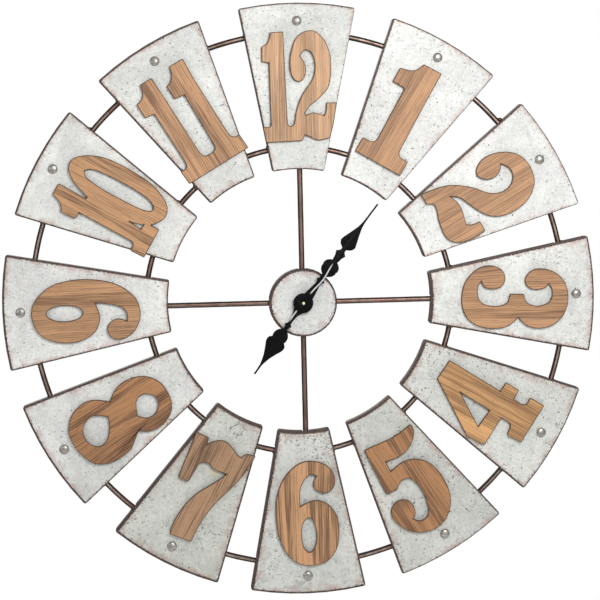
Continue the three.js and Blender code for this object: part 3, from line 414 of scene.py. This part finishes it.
def wood_material(hour):
    """Glued board whose grain runs along the plate, with strips of differing tone and burnt edges."""
    middle = WOOD_TONES[hour]
    light = tuple(min(1.0, c * k) for c, k in zip(middle, (1.45, 1.42, 1.38)))
    dark = tuple(c * k for c, k in zip(middle, (0.44, 0.39, 0.37)))
    shader = Shader(f"wood_numeral_{hour}")
    out = rivet_direction(hour)
    across = across_plate(out)
    place = shader.vector("SUBTRACT", shader.place(), tuple(WHEEL + out * PLATE_MIDDLE))
    u = shader.vector("DOT_PRODUCT", place, tuple(across))
    v = shader.vector("DOT_PRODUCT", place, tuple(out))
    depth = shader.vector("DOT_PRODUCT", place, (0, 1, 0))
    shift = hour * 0.173

    def grain_place(stretch, bent):
        return shader.add("ShaderNodeCombineXYZ", {
            "X": bent, "Y": shader.math("ADD", depth, shift), "Z": shader.math("MULTIPLY", v, stretch)})

    sway = shader.noise(grain_place(1.0, u), 13, 2, 0.5)
    bent = shader.math("MULTIPLY_ADD", sway, 7 * MM, u)
    streaks = shader.noise(grain_place(0.04, bent), 250, 3, 0.75)
    fibre = shader.noise(grain_place(0.025, bent), 480, 2, 0.85)
    strip = shader.cells(grain_place(0.04, shader.math("ADD", u, shift)), 70)
    tone = shader.add("ShaderNodeSeparateColor", {"Color": strip}).outputs[0]
    cloud = shader.noise(grain_place(0.7, u), 40, 3, 0.5)
    value = shader.math("MULTIPLY_ADD", tone, 0.2, shader.math("MULTIPLY", streaks, 0.42))
    value = shader.math("MULTIPLY_ADD", cloud, 0.18, value)
    value = shader.math("MULTIPLY_ADD", fibre, 0.62, value)
    ring = shader.math("SINE", shader.math("MULTIPLY", bent, 2 * math.pi / RING_SPACING))
    value = shader.math("MULTIPLY_ADD", ring, 0.045, value)
    reach = WOOD_REACH / WOOD_CONTRAST[hour]
    board = shader.span(value, WOOD_MIDDLE - reach, WOOD_MIDDLE + reach)
    colour = shader.ramp(board, [(0.0, dark), (0.5, middle), (1.0, light)])

    tick = shader.span(shader.noise(grain_place(0.16, bent), 560, 2, 0.5), 0.63, 0.7, 0, 0.4)
    colour = shader.mix(tick, colour, dark)
    if hour in SMOKY_PATCHES:
        centre, size = SMOKY_PATCHES[hour]
        smoke = spot(shader, bent, v, centre, size * 0.7, size * 0.6)
        smoke = shader.math("MULTIPLY", smoke, shader.span(streaks, 0.3, 0.7, 0.4, 0.9))
        colour = shader.mix(smoke, colour, WOOD_SMOKE)
    for corner in inside_corners(nodes[f"numeral_{hour}"]):
        corner -= WHEEL + out * PLATE_MIDDLE
        centre = (corner.dot(across) / MM, corner.dot(out) / MM)
        colour = shader.mix(spot(shader, u, v, centre, 1.2, 0.6), colour, WOOD_BURNT)
    facing = shader.facing()
    wall = shader.span(facing, 0.985, 0.8)
    char = shader.mix(shader.span(fibre, 0.4, 0.65), WOOD_BURNT, WOOD_SMOKE)
    colour = shader.mix(wall, colour, char)
    height = shader.math("MULTIPLY_ADD", fibre, 0.6, streaks)
    shader.bump(height, 0.3 * MM, 0.5)
    return shader.set(Base_Color=colour, Roughness=shader.span(streaks, 0.3, 0.7, 0.52, 0.68))


def burnt_material():
    """The charred rim that the cutter left round every numeral."""
    shader = Shader("burnt_edge")
    where = shader.place()
    char = shader.noise(where, 380, 3, 0.6)
    colour = shader.ramp(char, [
        (0.3, srgb(54, 38, 27)), (0.5, srgb(92, 66, 46)), (0.7, srgb(142, 106, 74))])
    shader.bump(char, 0.2 * MM, 0.4)
    return shader.set(Base_Color=colour, Roughness=0.7)


# ---- Metals, paint, plastics ----
def rod_material(name, highlight_from, bronze, reddish):
    """Dark steel with a painted highlight, lighter where the rod faces the dial side, and a reddish bloom
    here and there.
    """
    shader = Shader(name)
    where = shader.place()
    patches = shader.noise(where, 70, 4, 0.65)
    fine = shader.noise(where, 420, 4, 0.65)
    side = shader.mix(shader.span(fine, 0.4, 0.65), srgb(38, 28, 24), srgb(66, 50, 43))
    bloom = shader.span(shader.noise(where, 30, 3, 0.6), 0.45, 0.64)
    painted_highlight = shader.mix(bloom, bronze, reddish)
    painted_highlight = shader.mix(shader.span(patches, 0.54, 0.4, 0, 0.55), painted_highlight, srgb(92, 76, 64))
    # painted highlight: the rod is painted lighter where its surface faces the dial side
    worn = shader.math("MULTIPLY_ADD", fine, 0.07, shader.facing())
    worn = shader.span(worn, highlight_from, highlight_from + 0.1)
    colour = shader.mix(worn, side, painted_highlight)
    shader.bump(fine, 0.25 * MM, 0.6)
    return shader.set(Base_Color=colour, Metallic=0.55, Roughness=shader.span(worn, 0, 1, 0.55, 0.4))


def weld_material():
    shader = Shader("weld_bead")
    where = shader.place()
    heat = shader.noise(where, 200, 4, 0.6)
    colour = shader.ramp(heat, [
        (0.3, srgb(60, 38, 34)), (0.55, srgb(104, 66, 56)), (0.8, srgb(138, 98, 88))])
    shader.bump(shader.noise(where, 700, 4, 0.6), 0.3 * MM, 0.8)
    return shader.set(Base_Color=colour, Metallic=0.7, Roughness=0.55)


def rivet_material():
    shader = Shader("zinc_rivet_head")
    where = shader.place()
    smear = shader.noise(where, 330, 4, 0.65)
    colour = shader.ramp(smear, [
        (0.3, srgb(124, 119, 110)), (0.5, srgb(168, 164, 156)), (0.75, srgb(206, 203, 198))])
    # painted shade: the dome is painted darker where it turns away from the dial side
    rim = shader.span(shader.facing(), 0.75, 0.35, 0, 0.65)
    colour = shader.mix(rim, colour, srgb(116, 110, 102))
    shader.bump(shader.noise(where, 600, 3, 0.5), 0.1 * MM, 0.4)
    return shader.set(Base_Color=colour, Metallic=0.8, Roughness=shader.span(smear, 0.3, 0.7, 0.46, 0.36))


def painted_glint_line(shader, place, name, start, end, side, bow):
    """1 along the thin line on a hand where a highlight is painted, in millimetres from the axis and
    aside of the hand's middle.
    """
    low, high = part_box(name)
    right = high.x if high.x > -low.x else low.x
    up = high.z if high.z > -low.z else low.z
    far = Vector((right, 0, up)).normalized()
    along = shader.vector("DOT_PRODUCT", place, tuple(far))
    aside = shader.vector("DOT_PRODUCT", place, (far.z, 0, -far.x))
    share = shader.span(along, start * MM, end * MM)
    middle = shader.math("MULTIPLY_ADD", shader.math("SINE", shader.math("MULTIPLY", share, math.pi)),
                         bow * MM, side * MM)
    away = shader.math("ABSOLUTE", shader.math("SUBTRACT", aside, middle))
    ends = shader.math("MULTIPLY", shader.span(along, start * MM, (start + 5) * MM),
                       shader.span(along, end * MM, (end - 8) * MM))
    return shader.math("MULTIPLY", shader.span(away, 1.0 * MM, 0.45 * MM), ends)


def paint_material(name, start, end, side, bow):
    """Black paint, with a painted highlight: a thin pale, partly metallic line along the hand's ridge."""
    shader = Shader(f"black_{name}")
    where = shader.place()
    wear = shader.noise(where, 420, 4, 0.6)
    colour = shader.mix(shader.span(wear, 0.42, 0.7), srgb(3, 3, 3), srgb(10, 9, 9))
    # painted highlight: a pale line where the glint off the hand's ridge would be
    painted_glint = painted_glint_line(shader, where, name, start, end, side, bow)
    painted_glint = shader.math("MULTIPLY", painted_glint, shader.span(shader.facing(), 0.2, 0.7))
    colour = shader.mix(painted_glint, colour, srgb(236, 236, 238))
    shader.bump(wear, 0.05 * MM, 0.3)
    shader.surface.inputs["Specular IOR Level"].default_value = 0.2
    return shader.set(Base_Color=colour, Roughness=shader.span(wear, 0.3, 0.7, 0.22, 0.34),
                      Metallic=shader.math("MULTIPLY", painted_glint, 0.4))


def hand_edge_material():
    """The pressed, glossier edge of the hands."""
    shader = Shader("black_hand_edge")
    wear = shader.noise(shader.place(), 300, 3, 0.6)
    colour = shader.mix(shader.span(wear, 0.42, 0.7), srgb(5, 5, 5), srgb(18, 17, 17))
    shader.surface.inputs["Coat Weight"].default_value = 1.0
    return shader.set(Base_Color=colour, Roughness=shader.span(wear, 0.3, 0.7, 0.2, 0.32))


def hand_nut_material():
    """Blackened brass, worn bright only round its middle."""
    shader = Shader("blackened_nut")
    where = shader.place()
    flat = shader.vector("MULTIPLY", where, (1, 0, 1))
    away = shader.vector("LENGTH", flat)
    wear = shader.noise(where, 500, 3, 0.6)
    away = shader.math("MULTIPLY_ADD", wear, 0.5 * MM, away)
    worn = shader.span(away, 2.3 * MM, 1.7 * MM)
    colour = shader.mix(worn, srgb(26, 24, 20), srgb(226, 214, 170))
    return shader.set(Base_Color=colour, Metallic=0.6, Roughness=shader.span(wear, 0.3, 0.7, 0.4, 0.5))


def plain_metal(name, low, high, roughness, scale=500):
    shader = Shader(name)
    where = shader.place()
    turned = shader.noise(shader.vector("MULTIPLY", where, (1, 6, 1)), scale, 3, 0.6)
    colour = shader.mix(shader.span(turned, 0.3, 0.7), low, high)
    shader.bump(turned, 0.05 * MM, 0.4)
    rough = shader.span(turned, 0.3, 0.7, roughness, roughness + 0.12)
    return shader.set(Base_Color=colour, Metallic=1.0, Roughness=rough)


def moulded_plastic(name, low, high, roughness):
    shader = Shader(name)
    where = shader.place()
    cloud = shader.noise(where, 60, 3, 0.5)
    texture = shader.noise(where, 2600, 2, 0.5)
    colour = shader.mix(shader.span(cloud, 0.35, 0.65), low, high)
    shader.bump(texture, 0.04 * MM, 0.5)
    rough = shader.span(texture, 0.3, 0.7, roughness, roughness + 0.1)
    return shader.set(Base_Color=colour, Roughness=rough)


def cell_material():
    """The cell's sleeve: graphite with a plain copper band, and uncoated metal ends."""
    shader = Shader("battery_sleeve")
    low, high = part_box("battery")
    place = shader.place()
    along = shader.vector("DOT_PRODUCT", place, (1, 0, 0))
    share = shader.span(along, low.x, high.x)
    jacket = shader.ramp(share, [
        (0.0, srgb(168, 168, 166)), (0.012, srgb(42, 46, 50)), (0.66, srgb(42, 46, 50)),
        (0.675, srgb(176, 112, 62)), (0.955, srgb(176, 112, 62)), (0.965, srgb(178, 178, 176))])
    shader.tree.nodes[jacket.node.name].color_ramp.interpolation = "CONSTANT"
    made = shader.noise(place, 900, 2, 0.5)
    shader.bump(made, 0.03 * MM, 0.3)
    return shader.set(Base_Color=jacket, Metallic=0.55, Roughness=shader.span(made, 0.3, 0.7, 0.28, 0.36))


zinc_plates = {hour: plate_material(hour) for hour in HOURS}
woods = {hour: wood_material(hour) for hour in HOURS}
burnt_edge = burnt_material()
aged_ring = rod_material("aged_ring", 0.94, srgb(170, 152, 138), srgb(152, 114, 102))
aged_spoke = rod_material("aged_spoke", 0.86, srgb(130, 106, 94), srgb(138, 100, 88))
weld = weld_material()
rivet_zinc = rivet_material()
hub_zinc = hub_material()
hand_paints = {
    "minute_hand": paint_material("minute_hand", 13, 62, -0.3, 2.2),
    "hour_hand": paint_material("hour_hand", 8, 30, 1.3, 0.2),
}
black_edge = hand_edge_material()
blackened_nut = hand_nut_material()
brass = plain_metal("hand_brass", srgb(176, 152, 96), srgb(226, 212, 168), 0.28)
spring = plain_metal("spring_steel", srgb(150, 152, 154), srgb(200, 202, 204), 0.25)
copper = plain_metal("coil_copper", srgb(140, 74, 36), srgb(198, 118, 66), 0.35, 1800)
black_plastic = moulded_plastic("movement_black", srgb(20, 20, 21), srgb(32, 32, 33), 0.45)
white_plastic = moulded_plastic("gear_white", srgb(214, 210, 198), srgb(236, 233, 224), 0.35)
board_green = moulded_plastic("board_green", srgb(20, 70, 40), srgb(40, 100, 60), 0.35)
rubber = moulded_plastic("black_rubber_washer", srgb(20, 20, 20), srgb(34, 33, 33), 0.8)
battery_sleeve = cell_material()


# ---- Mesh helpers ----
def dress(obj, material, smooth=True):
    obj.data.materials.clear()
    obj.data.materials.append(material)
    for polygon in obj.data.polygons:
        polygon.use_smooth = smooth
    return obj


def soften(obj, width, segments=2, angle=35, edge_material=None, flat=False, merge=False):
    """Joins the split edges, merges flat neighbours if asked, and rounds the sharp edges."""
    weld_edges = obj.modifiers.new("weld_edges", "WELD")
    weld_edges.merge_threshold = 0.004 * MM
    if merge:
        merged = obj.modifiers.new("merge_flats", "DECIMATE")
        merged.decimate_type = "DISSOLVE"
        merged.angle_limit = math.radians(0.6)
    bevel = obj.modifiers.new("rounded_edges", "BEVEL")
    bevel.width = width
    bevel.segments = segments
    bevel.limit_method = "ANGLE"
    bevel.angle_limit = math.radians(angle)
    bevel.use_clamp_overlap = not flat
    bevel.harden_normals = not flat
    if edge_material:
        obj.data.materials.append(edge_material)
        bevel.material = 1


def mesh_piece(name, build, material, body, replaced=()):
    """A new piece whose geometry `build` adds to an empty bmesh."""
    sheet = bmesh.new()
    build(sheet)
    bmesh.ops.recalc_face_normals(sheet, faces=sheet.faces)
    data = bpy.data.meshes.new(name)
    sheet.to_mesh(data)
    sheet.free()
    obj = bpy.data.objects.new(name, data)
    bpy.context.scene.collection.objects.link(obj)
    dress(obj, material)
    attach(obj, body)
    if replaced:
        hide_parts(*replaced)
    return obj


def loop_tube(sheet, centres, closed, radius, sides, sway):
    """A tube through points, each (place, direction out of the tube's bend), with a hand-made sway."""
    rings = []
    for place, out in centres:
        ring = []
        for side in range(sides):
            angle = 2 * math.pi * side / sides
            normal = out * math.cos(angle) + Vector((0, 1, 0)) * math.sin(angle)
            rough = noise.noise(place * 90 + normal * 3) * sway
            ring.append(sheet.verts.new(place + normal * (radius + rough)))
        rings.append(ring)
    pairs = list(zip(rings, rings[1:]))
    if closed:
        pairs.append((rings[-1], rings[0]))
    for first, second in pairs:
        for side in range(sides):
            after = (side + 1) % sides
            sheet.faces.new((first[side], first[after], second[after], second[side]))
    if not closed:
        sheet.faces.new(rings[0])
        sheet.faces.new(list(reversed(rings[-1])))


def lathe(sheet, profile, segments, centre):
    """Turns a profile of (radius, y) about an axis along Y through centre."""
    rings = []
    for radius, y in profile:
        if radius < 1e-7:
            rings.append([sheet.verts.new((centre.x, y, centre.z))])
            continue
        ring = []
        for step in range(segments):
            angle = 2 * math.pi * step / segments
            ring.append(sheet.verts.new((
                centre.x + radius * math.cos(angle), y, centre.z + radius * math.sin(angle))))
        rings.append(ring)
    for first, second in zip(rings, rings[1:]):
        for step in range(segments):
            after = (step + 1) % segments
            corners = [first[step % len(first)], first[after % len(first)],
                       second[after % len(second)], second[step % len(second)]]
            kept = list(dict.fromkeys(corners))
            if len(kept) > 2:
                sheet.faces.new(kept)


# ---- Rod rings and spokes ----
RING_STEPS = 360
ROD_SIDES = 20
ROD_SWAY = 0.12 * MM


def build_ring(radius):
    def build(sheet):
        centres = []
        for step in range(RING_STEPS):
            angle = 2 * math.pi * step / RING_STEPS
            out = Vector((math.sin(angle), 0, math.cos(angle)))
            place = Vector((WHEEL.x, ROD_Y, WHEEL.z)) + out * radius
            centres.append((place, out))
        loop_tube(sheet, centres, True, ROD_RADIUS - ROD_SWAY, ROD_SIDES, ROD_SWAY)

    return build


def add_rings():
    for name, radius in (("outer_ring", OUTER_RING), ("inner_ring", INNER_RING)):
        mesh_piece(f"{name}_rod", build_ring(radius), aged_ring, "frame", [name])


def build_spoke(name):
    low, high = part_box(name)
    lengthwise = Vector((1, 0, 0)) if high.x - low.x > high.z - low.z else Vector((0, 0, 1))
    out = Vector((0, 0, 1)) if lengthwise.x else Vector((1, 0, 0))
    middle = (low + high) / 2
    length = (high - low).dot(lengthwise)
    steps = 60

    def build(sheet):
        centres = []
        for step in range(steps + 1):
            place = middle + lengthwise * length * (step / steps - 0.5)
            centres.append((place, out))
        loop_tube(sheet, centres, False, ROD_RADIUS - ROD_SWAY, ROD_SIDES, ROD_SWAY)

    return build


def add_spokes():
    for hour in (12, 3, 6, 9):
        name = f"spoke_{hour}"
        mesh_piece(f"{name}_rod", build_spoke(name), aged_spoke, "frame", [name])


# ---- Weld beads ----
WELD_INSET = 1.6 * MM  # from the outside of a flange to the beads along it


def blob(sheet, place, size, seed):
    """A lumpy bead of weld metal, a flattened sphere pushed about by noise."""
    made = bmesh.ops.create_icosphere(sheet, subdivisions=3, radius=1)
    for vertex in made["verts"]:
        lump = 1 + 0.3 * noise.noise(vertex.co * 1.7 + Vector((seed, 0, seed * 0.5)))
        vertex.co = place + Vector([vertex.co[i] * size[i] * lump for i in range(3)])


def build_welds(sheet):
    """Beads where the plates' side flanges sit on the rods, one beside plate 2, and at the spokes' outer
    ends.
    """
    picker = random.Random(7)
    for hour in HOURS:
        out = rivet_direction(hour)
        heading = math.atan2(out.x, out.z)
        for radius in (OUTER_RING, INNER_RING):
            for side in (-1, 1):
                angle = heading + side * (PLATE_HALF_ANGLE - WELD_INSET / radius)
                middle = Vector((WHEEL.x, ROD_Y, WHEEL.z))
                turned = Vector((math.sin(angle), 0, math.cos(angle)))
                lean = picker.uniform(-0.5, 0.5) * MM
                place = middle + turned * (radius + ROD_RADIUS + lean)
                size = [picker.uniform(2.0, 3.0) * MM for _ in range(3)]
                blob(sheet, place, size, picker.uniform(0, 50))
    out = rivet_direction(2)
    angle = math.atan2(out.x, out.z) - PLATE_HALF_ANGLE - WELD_INSET / OUTER_RING
    turned = Vector((math.sin(angle), 0, math.cos(angle)))
    place = Vector((WHEEL.x, ROD_Y, WHEEL.z)) + turned * (OUTER_RING + ROD_RADIUS + 0.5 * MM)
    blob(sheet, place, [2.9 * MM] * 3, 3.3)  # the one bead that shows from the front, beside plate 2
    for hour in (12, 3, 6, 9):
        low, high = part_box(f"spoke_{hour}")
        far = max((low, high), key=lambda corner: abs(corner.x) + abs(corner.z))
        tip = Vector((far.x if hour in (3, 9) else 0, ROD_Y, far.z if hour in (12, 6) else 0))
        for lean in (-1, 1):
            shift = Vector((0, 0, lean)) if hour in (3, 9) else Vector((lean, 0, 0))
            blob(sheet, tip + shift * 2.6 * MM, [2.4 * MM] * 3, hour + lean)


def add_welds():
    mesh_piece("weld_beads", build_welds, weld, "frame")


# ---- Rivets ----
def build_rivet(hour):
    low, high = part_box(f"rivet_{hour}")
    centre = (low + high) / 2
    radius = (high.x - low.x + high.z - low.z) / 4
    picker = random.Random(hour)

    def build(sheet):
        head_back = low.y + RIVET_HEAD_HEIGHT
        profile = [(0, low.y)]
        for step in range(1, 9):
            angle = math.pi / 2 * step / 8
            profile.append((radius * math.sin(angle), head_back - RIVET_HEAD_HEIGHT * math.cos(angle)))
        head_foot = head_back + 0.15 * MM
        profile += [(radius * 0.98, head_foot), (RIVET_SHANK_RADIUS, head_foot),
                    (RIVET_SHANK_RADIUS, high.y - 1.4 * MM), (3 * MM, high.y - 1.3 * MM),
                    (2.8 * MM, high.y - 0.4 * MM), (1.6 * MM, high.y), (0, high.y)]
        lathe(sheet, profile, 40, centre)
        seed = picker.uniform(0, 90)
        for vertex in sheet.verts:
            if vertex.co.y < head_back - 0.2 * MM:
                dent = noise.noise(vertex.co * 260 + Vector((seed, 0, 0)))
                vertex.co.y += 0.14 * MM * dent + 0.02 * MM

    return build


def add_rivets():
    for hour in HOURS:
        name = f"rivet_{hour}"
        mesh_piece(f"{name}_head", build_rivet(hour), rivet_zinc, "frame", [name])


# ---- CAD nodes that keep their shape ----
def add_cad_looks():
    looks = {
        "hub_cap": (hub_zinc, 0.5), "hanger": (aged_spoke, 0.3), "hex_nut": (brass, 0.3),
        "rubber_washer": (rubber, 0.15), "movement_case": (black_plastic, 0.3),
        "rear_cover": (black_plastic, 0.25), "battery": (battery_sleeve, 0.12),
        "contact_plus": (spring, 0.1), "contact_minus": (spring, 0.1), "minute_shaft": (brass, 0.08),
        "minute_wheel": (brass, 0.08), "hour_wheel": (white_plastic, 0.08),
        "time_set_knob": (white_plastic, 0.15), "circuit_board": (board_green, 0.1),
        "drive_coil": (copper, 0.15), "hand_nut": (blackened_nut, 0.12),
    }
    for name, (material, width) in looks.items():
        dress(nodes[name], material)
        soften(nodes[name], width * MM)
    for name, paint in hand_paints.items():
        dress(nodes[name], paint)
        soften(nodes[name], 0.4 * MM, 4, 35, black_edge)
    for hour in HOURS:
        dress(nodes[f"plate_{hour}"], zinc_plates[hour])
        soften(nodes[f"plate_{hour}"], 0.5 * MM, 3, 50)
        dress(nodes[f"numeral_{hour}"], woods[hour], smooth=False)
        one_face = hour != 8  # the 8's front folds at its waist when it is merged into one face
        soften(nodes[f"numeral_{hour}"], 1.0 * MM, 3, 40, burnt_edge, flat=True, merge=one_face)


# ---- Stage, lights and camera ----
FLOOR_RADIUS = 1.2
FLOOR_DROP = 0.3  # from the clock's lowest edge
AMBIENT = 0.34
KEY_POWER = 12.5
STRIP_POWER = 1.2
BACK_POWER = 22
CAMERA_AZIMUTH = math.radians(-3)
CAMERA_ELEVATION = math.radians(4.5)
CAMERA_ROLL = math.radians(1.332)
CAMERA_DISTANCE = 3.2
CAMERA_TARGET = Vector((-3.64 * MM, PLATE_FRONT, 3.36 * MM))
FRAME_WIDTH = 738.8 * MM  # what the picture's width takes in at the plates' fronts


def stage_material():
    shader = Shader("studio_white")
    grain = shader.noise(shader.place(), 8, 2, 0.5)
    colour = shader.mix(grain, (0.89, 0.89, 0.89), (0.91, 0.91, 0.91))
    return shader.set(Base_Color=colour, Roughness=0.9, Emission_Color=(1, 1, 1), Emission_Strength=0.25)


def add_stage():
    """A round pale floor below the clock."""
    floor = cad_box[0].z - FLOOR_DROP
    steps = 96
    corners = []
    for step in range(steps):
        angle = 2 * math.pi * step / steps
        corners.append((FLOOR_RADIUS * math.cos(angle), FLOOR_RADIUS * math.sin(angle), floor))
    data = bpy.data.meshes.new("studio_floor")
    data.from_pydata(corners, [], [tuple(range(steps))])
    obj = bpy.data.objects.new("studio_floor", data)
    bpy.context.scene.collection.objects.link(obj)
    obj.data.materials.append(stage_material())


def add_light(name, place, size, power):
    """A round lamp aimed at the hands' axis."""
    data = bpy.data.lights.new(name, "AREA")
    data.shape = "DISK"
    data.size = size
    data.energy = power
    obj = bpy.data.objects.new(name, data)
    bpy.context.scene.collection.objects.link(obj)
    obj.location = place
    obj.rotation_euler = (-Vector(place)).to_track_quat("-Z", "Y").to_euler()
    obj.visible_camera = False


def add_world():
    """White behind everything, and a softer even light from all round."""
    world = bpy.data.worlds.new("studio")
    bpy.context.scene.world = world
    world.use_nodes = True
    tree = world.node_tree
    even = tree.nodes["Background"]
    even.inputs["Color"].default_value = (1, 1, 1, 1)
    even.inputs["Strength"].default_value = AMBIENT
    white = tree.nodes.new("ShaderNodeBackground")
    white.inputs["Strength"].default_value = 1.0
    white.inputs["Color"].default_value = (1, 1, 1, 1)
    choice = tree.nodes.new("ShaderNodeMixShader")
    path = tree.nodes.new("ShaderNodeLightPath")
    tree.links.new(path.outputs["Is Camera Ray"], choice.inputs[0])
    tree.links.new(even.outputs[0], choice.inputs[1])
    tree.links.new(white.outputs[0], choice.inputs[2])
    tree.links.new(choice.outputs[0], tree.nodes["World Output"].inputs["Surface"])


def add_lights():
    add_light("key", (0.34, -1.25, 0.54), 0.55, KEY_POWER)
    add_light("left_strip", (-0.9, -0.7, 0.25), 0.18, STRIP_POWER)
    add_light("back", (-0.8, 1.9, 1.1), 1.4, BACK_POWER)
    add_world()


def add_camera():
    data = bpy.data.cameras.new("camera")
    data.sensor_width = 36
    data.lens = data.sensor_width * CAMERA_DISTANCE / FRAME_WIDTH
    camera = bpy.data.objects.new("camera", data)
    bpy.context.scene.collection.objects.link(camera)
    back = Vector((
        math.sin(CAMERA_AZIMUTH) * math.cos(CAMERA_ELEVATION),
        -math.cos(CAMERA_AZIMUTH) * math.cos(CAMERA_ELEVATION),
        math.sin(CAMERA_ELEVATION),
    ))
    camera.location = CAMERA_TARGET + back * CAMERA_DISTANCE
    aim = (-back).to_track_quat("-Z", "Y").to_matrix()
    roll = Matrix.Rotation(-CAMERA_ROLL, 3, "Z")
    camera.rotation_euler = (aim @ roll).to_euler()
    bpy.context.scene.camera = camera


add_camera()
add_lights()
add_stage()
add_rings()
add_spokes()
add_welds()
add_rivets()
add_cad_looks()

bpy.context.scene.view_settings.view_transform = "Standard"
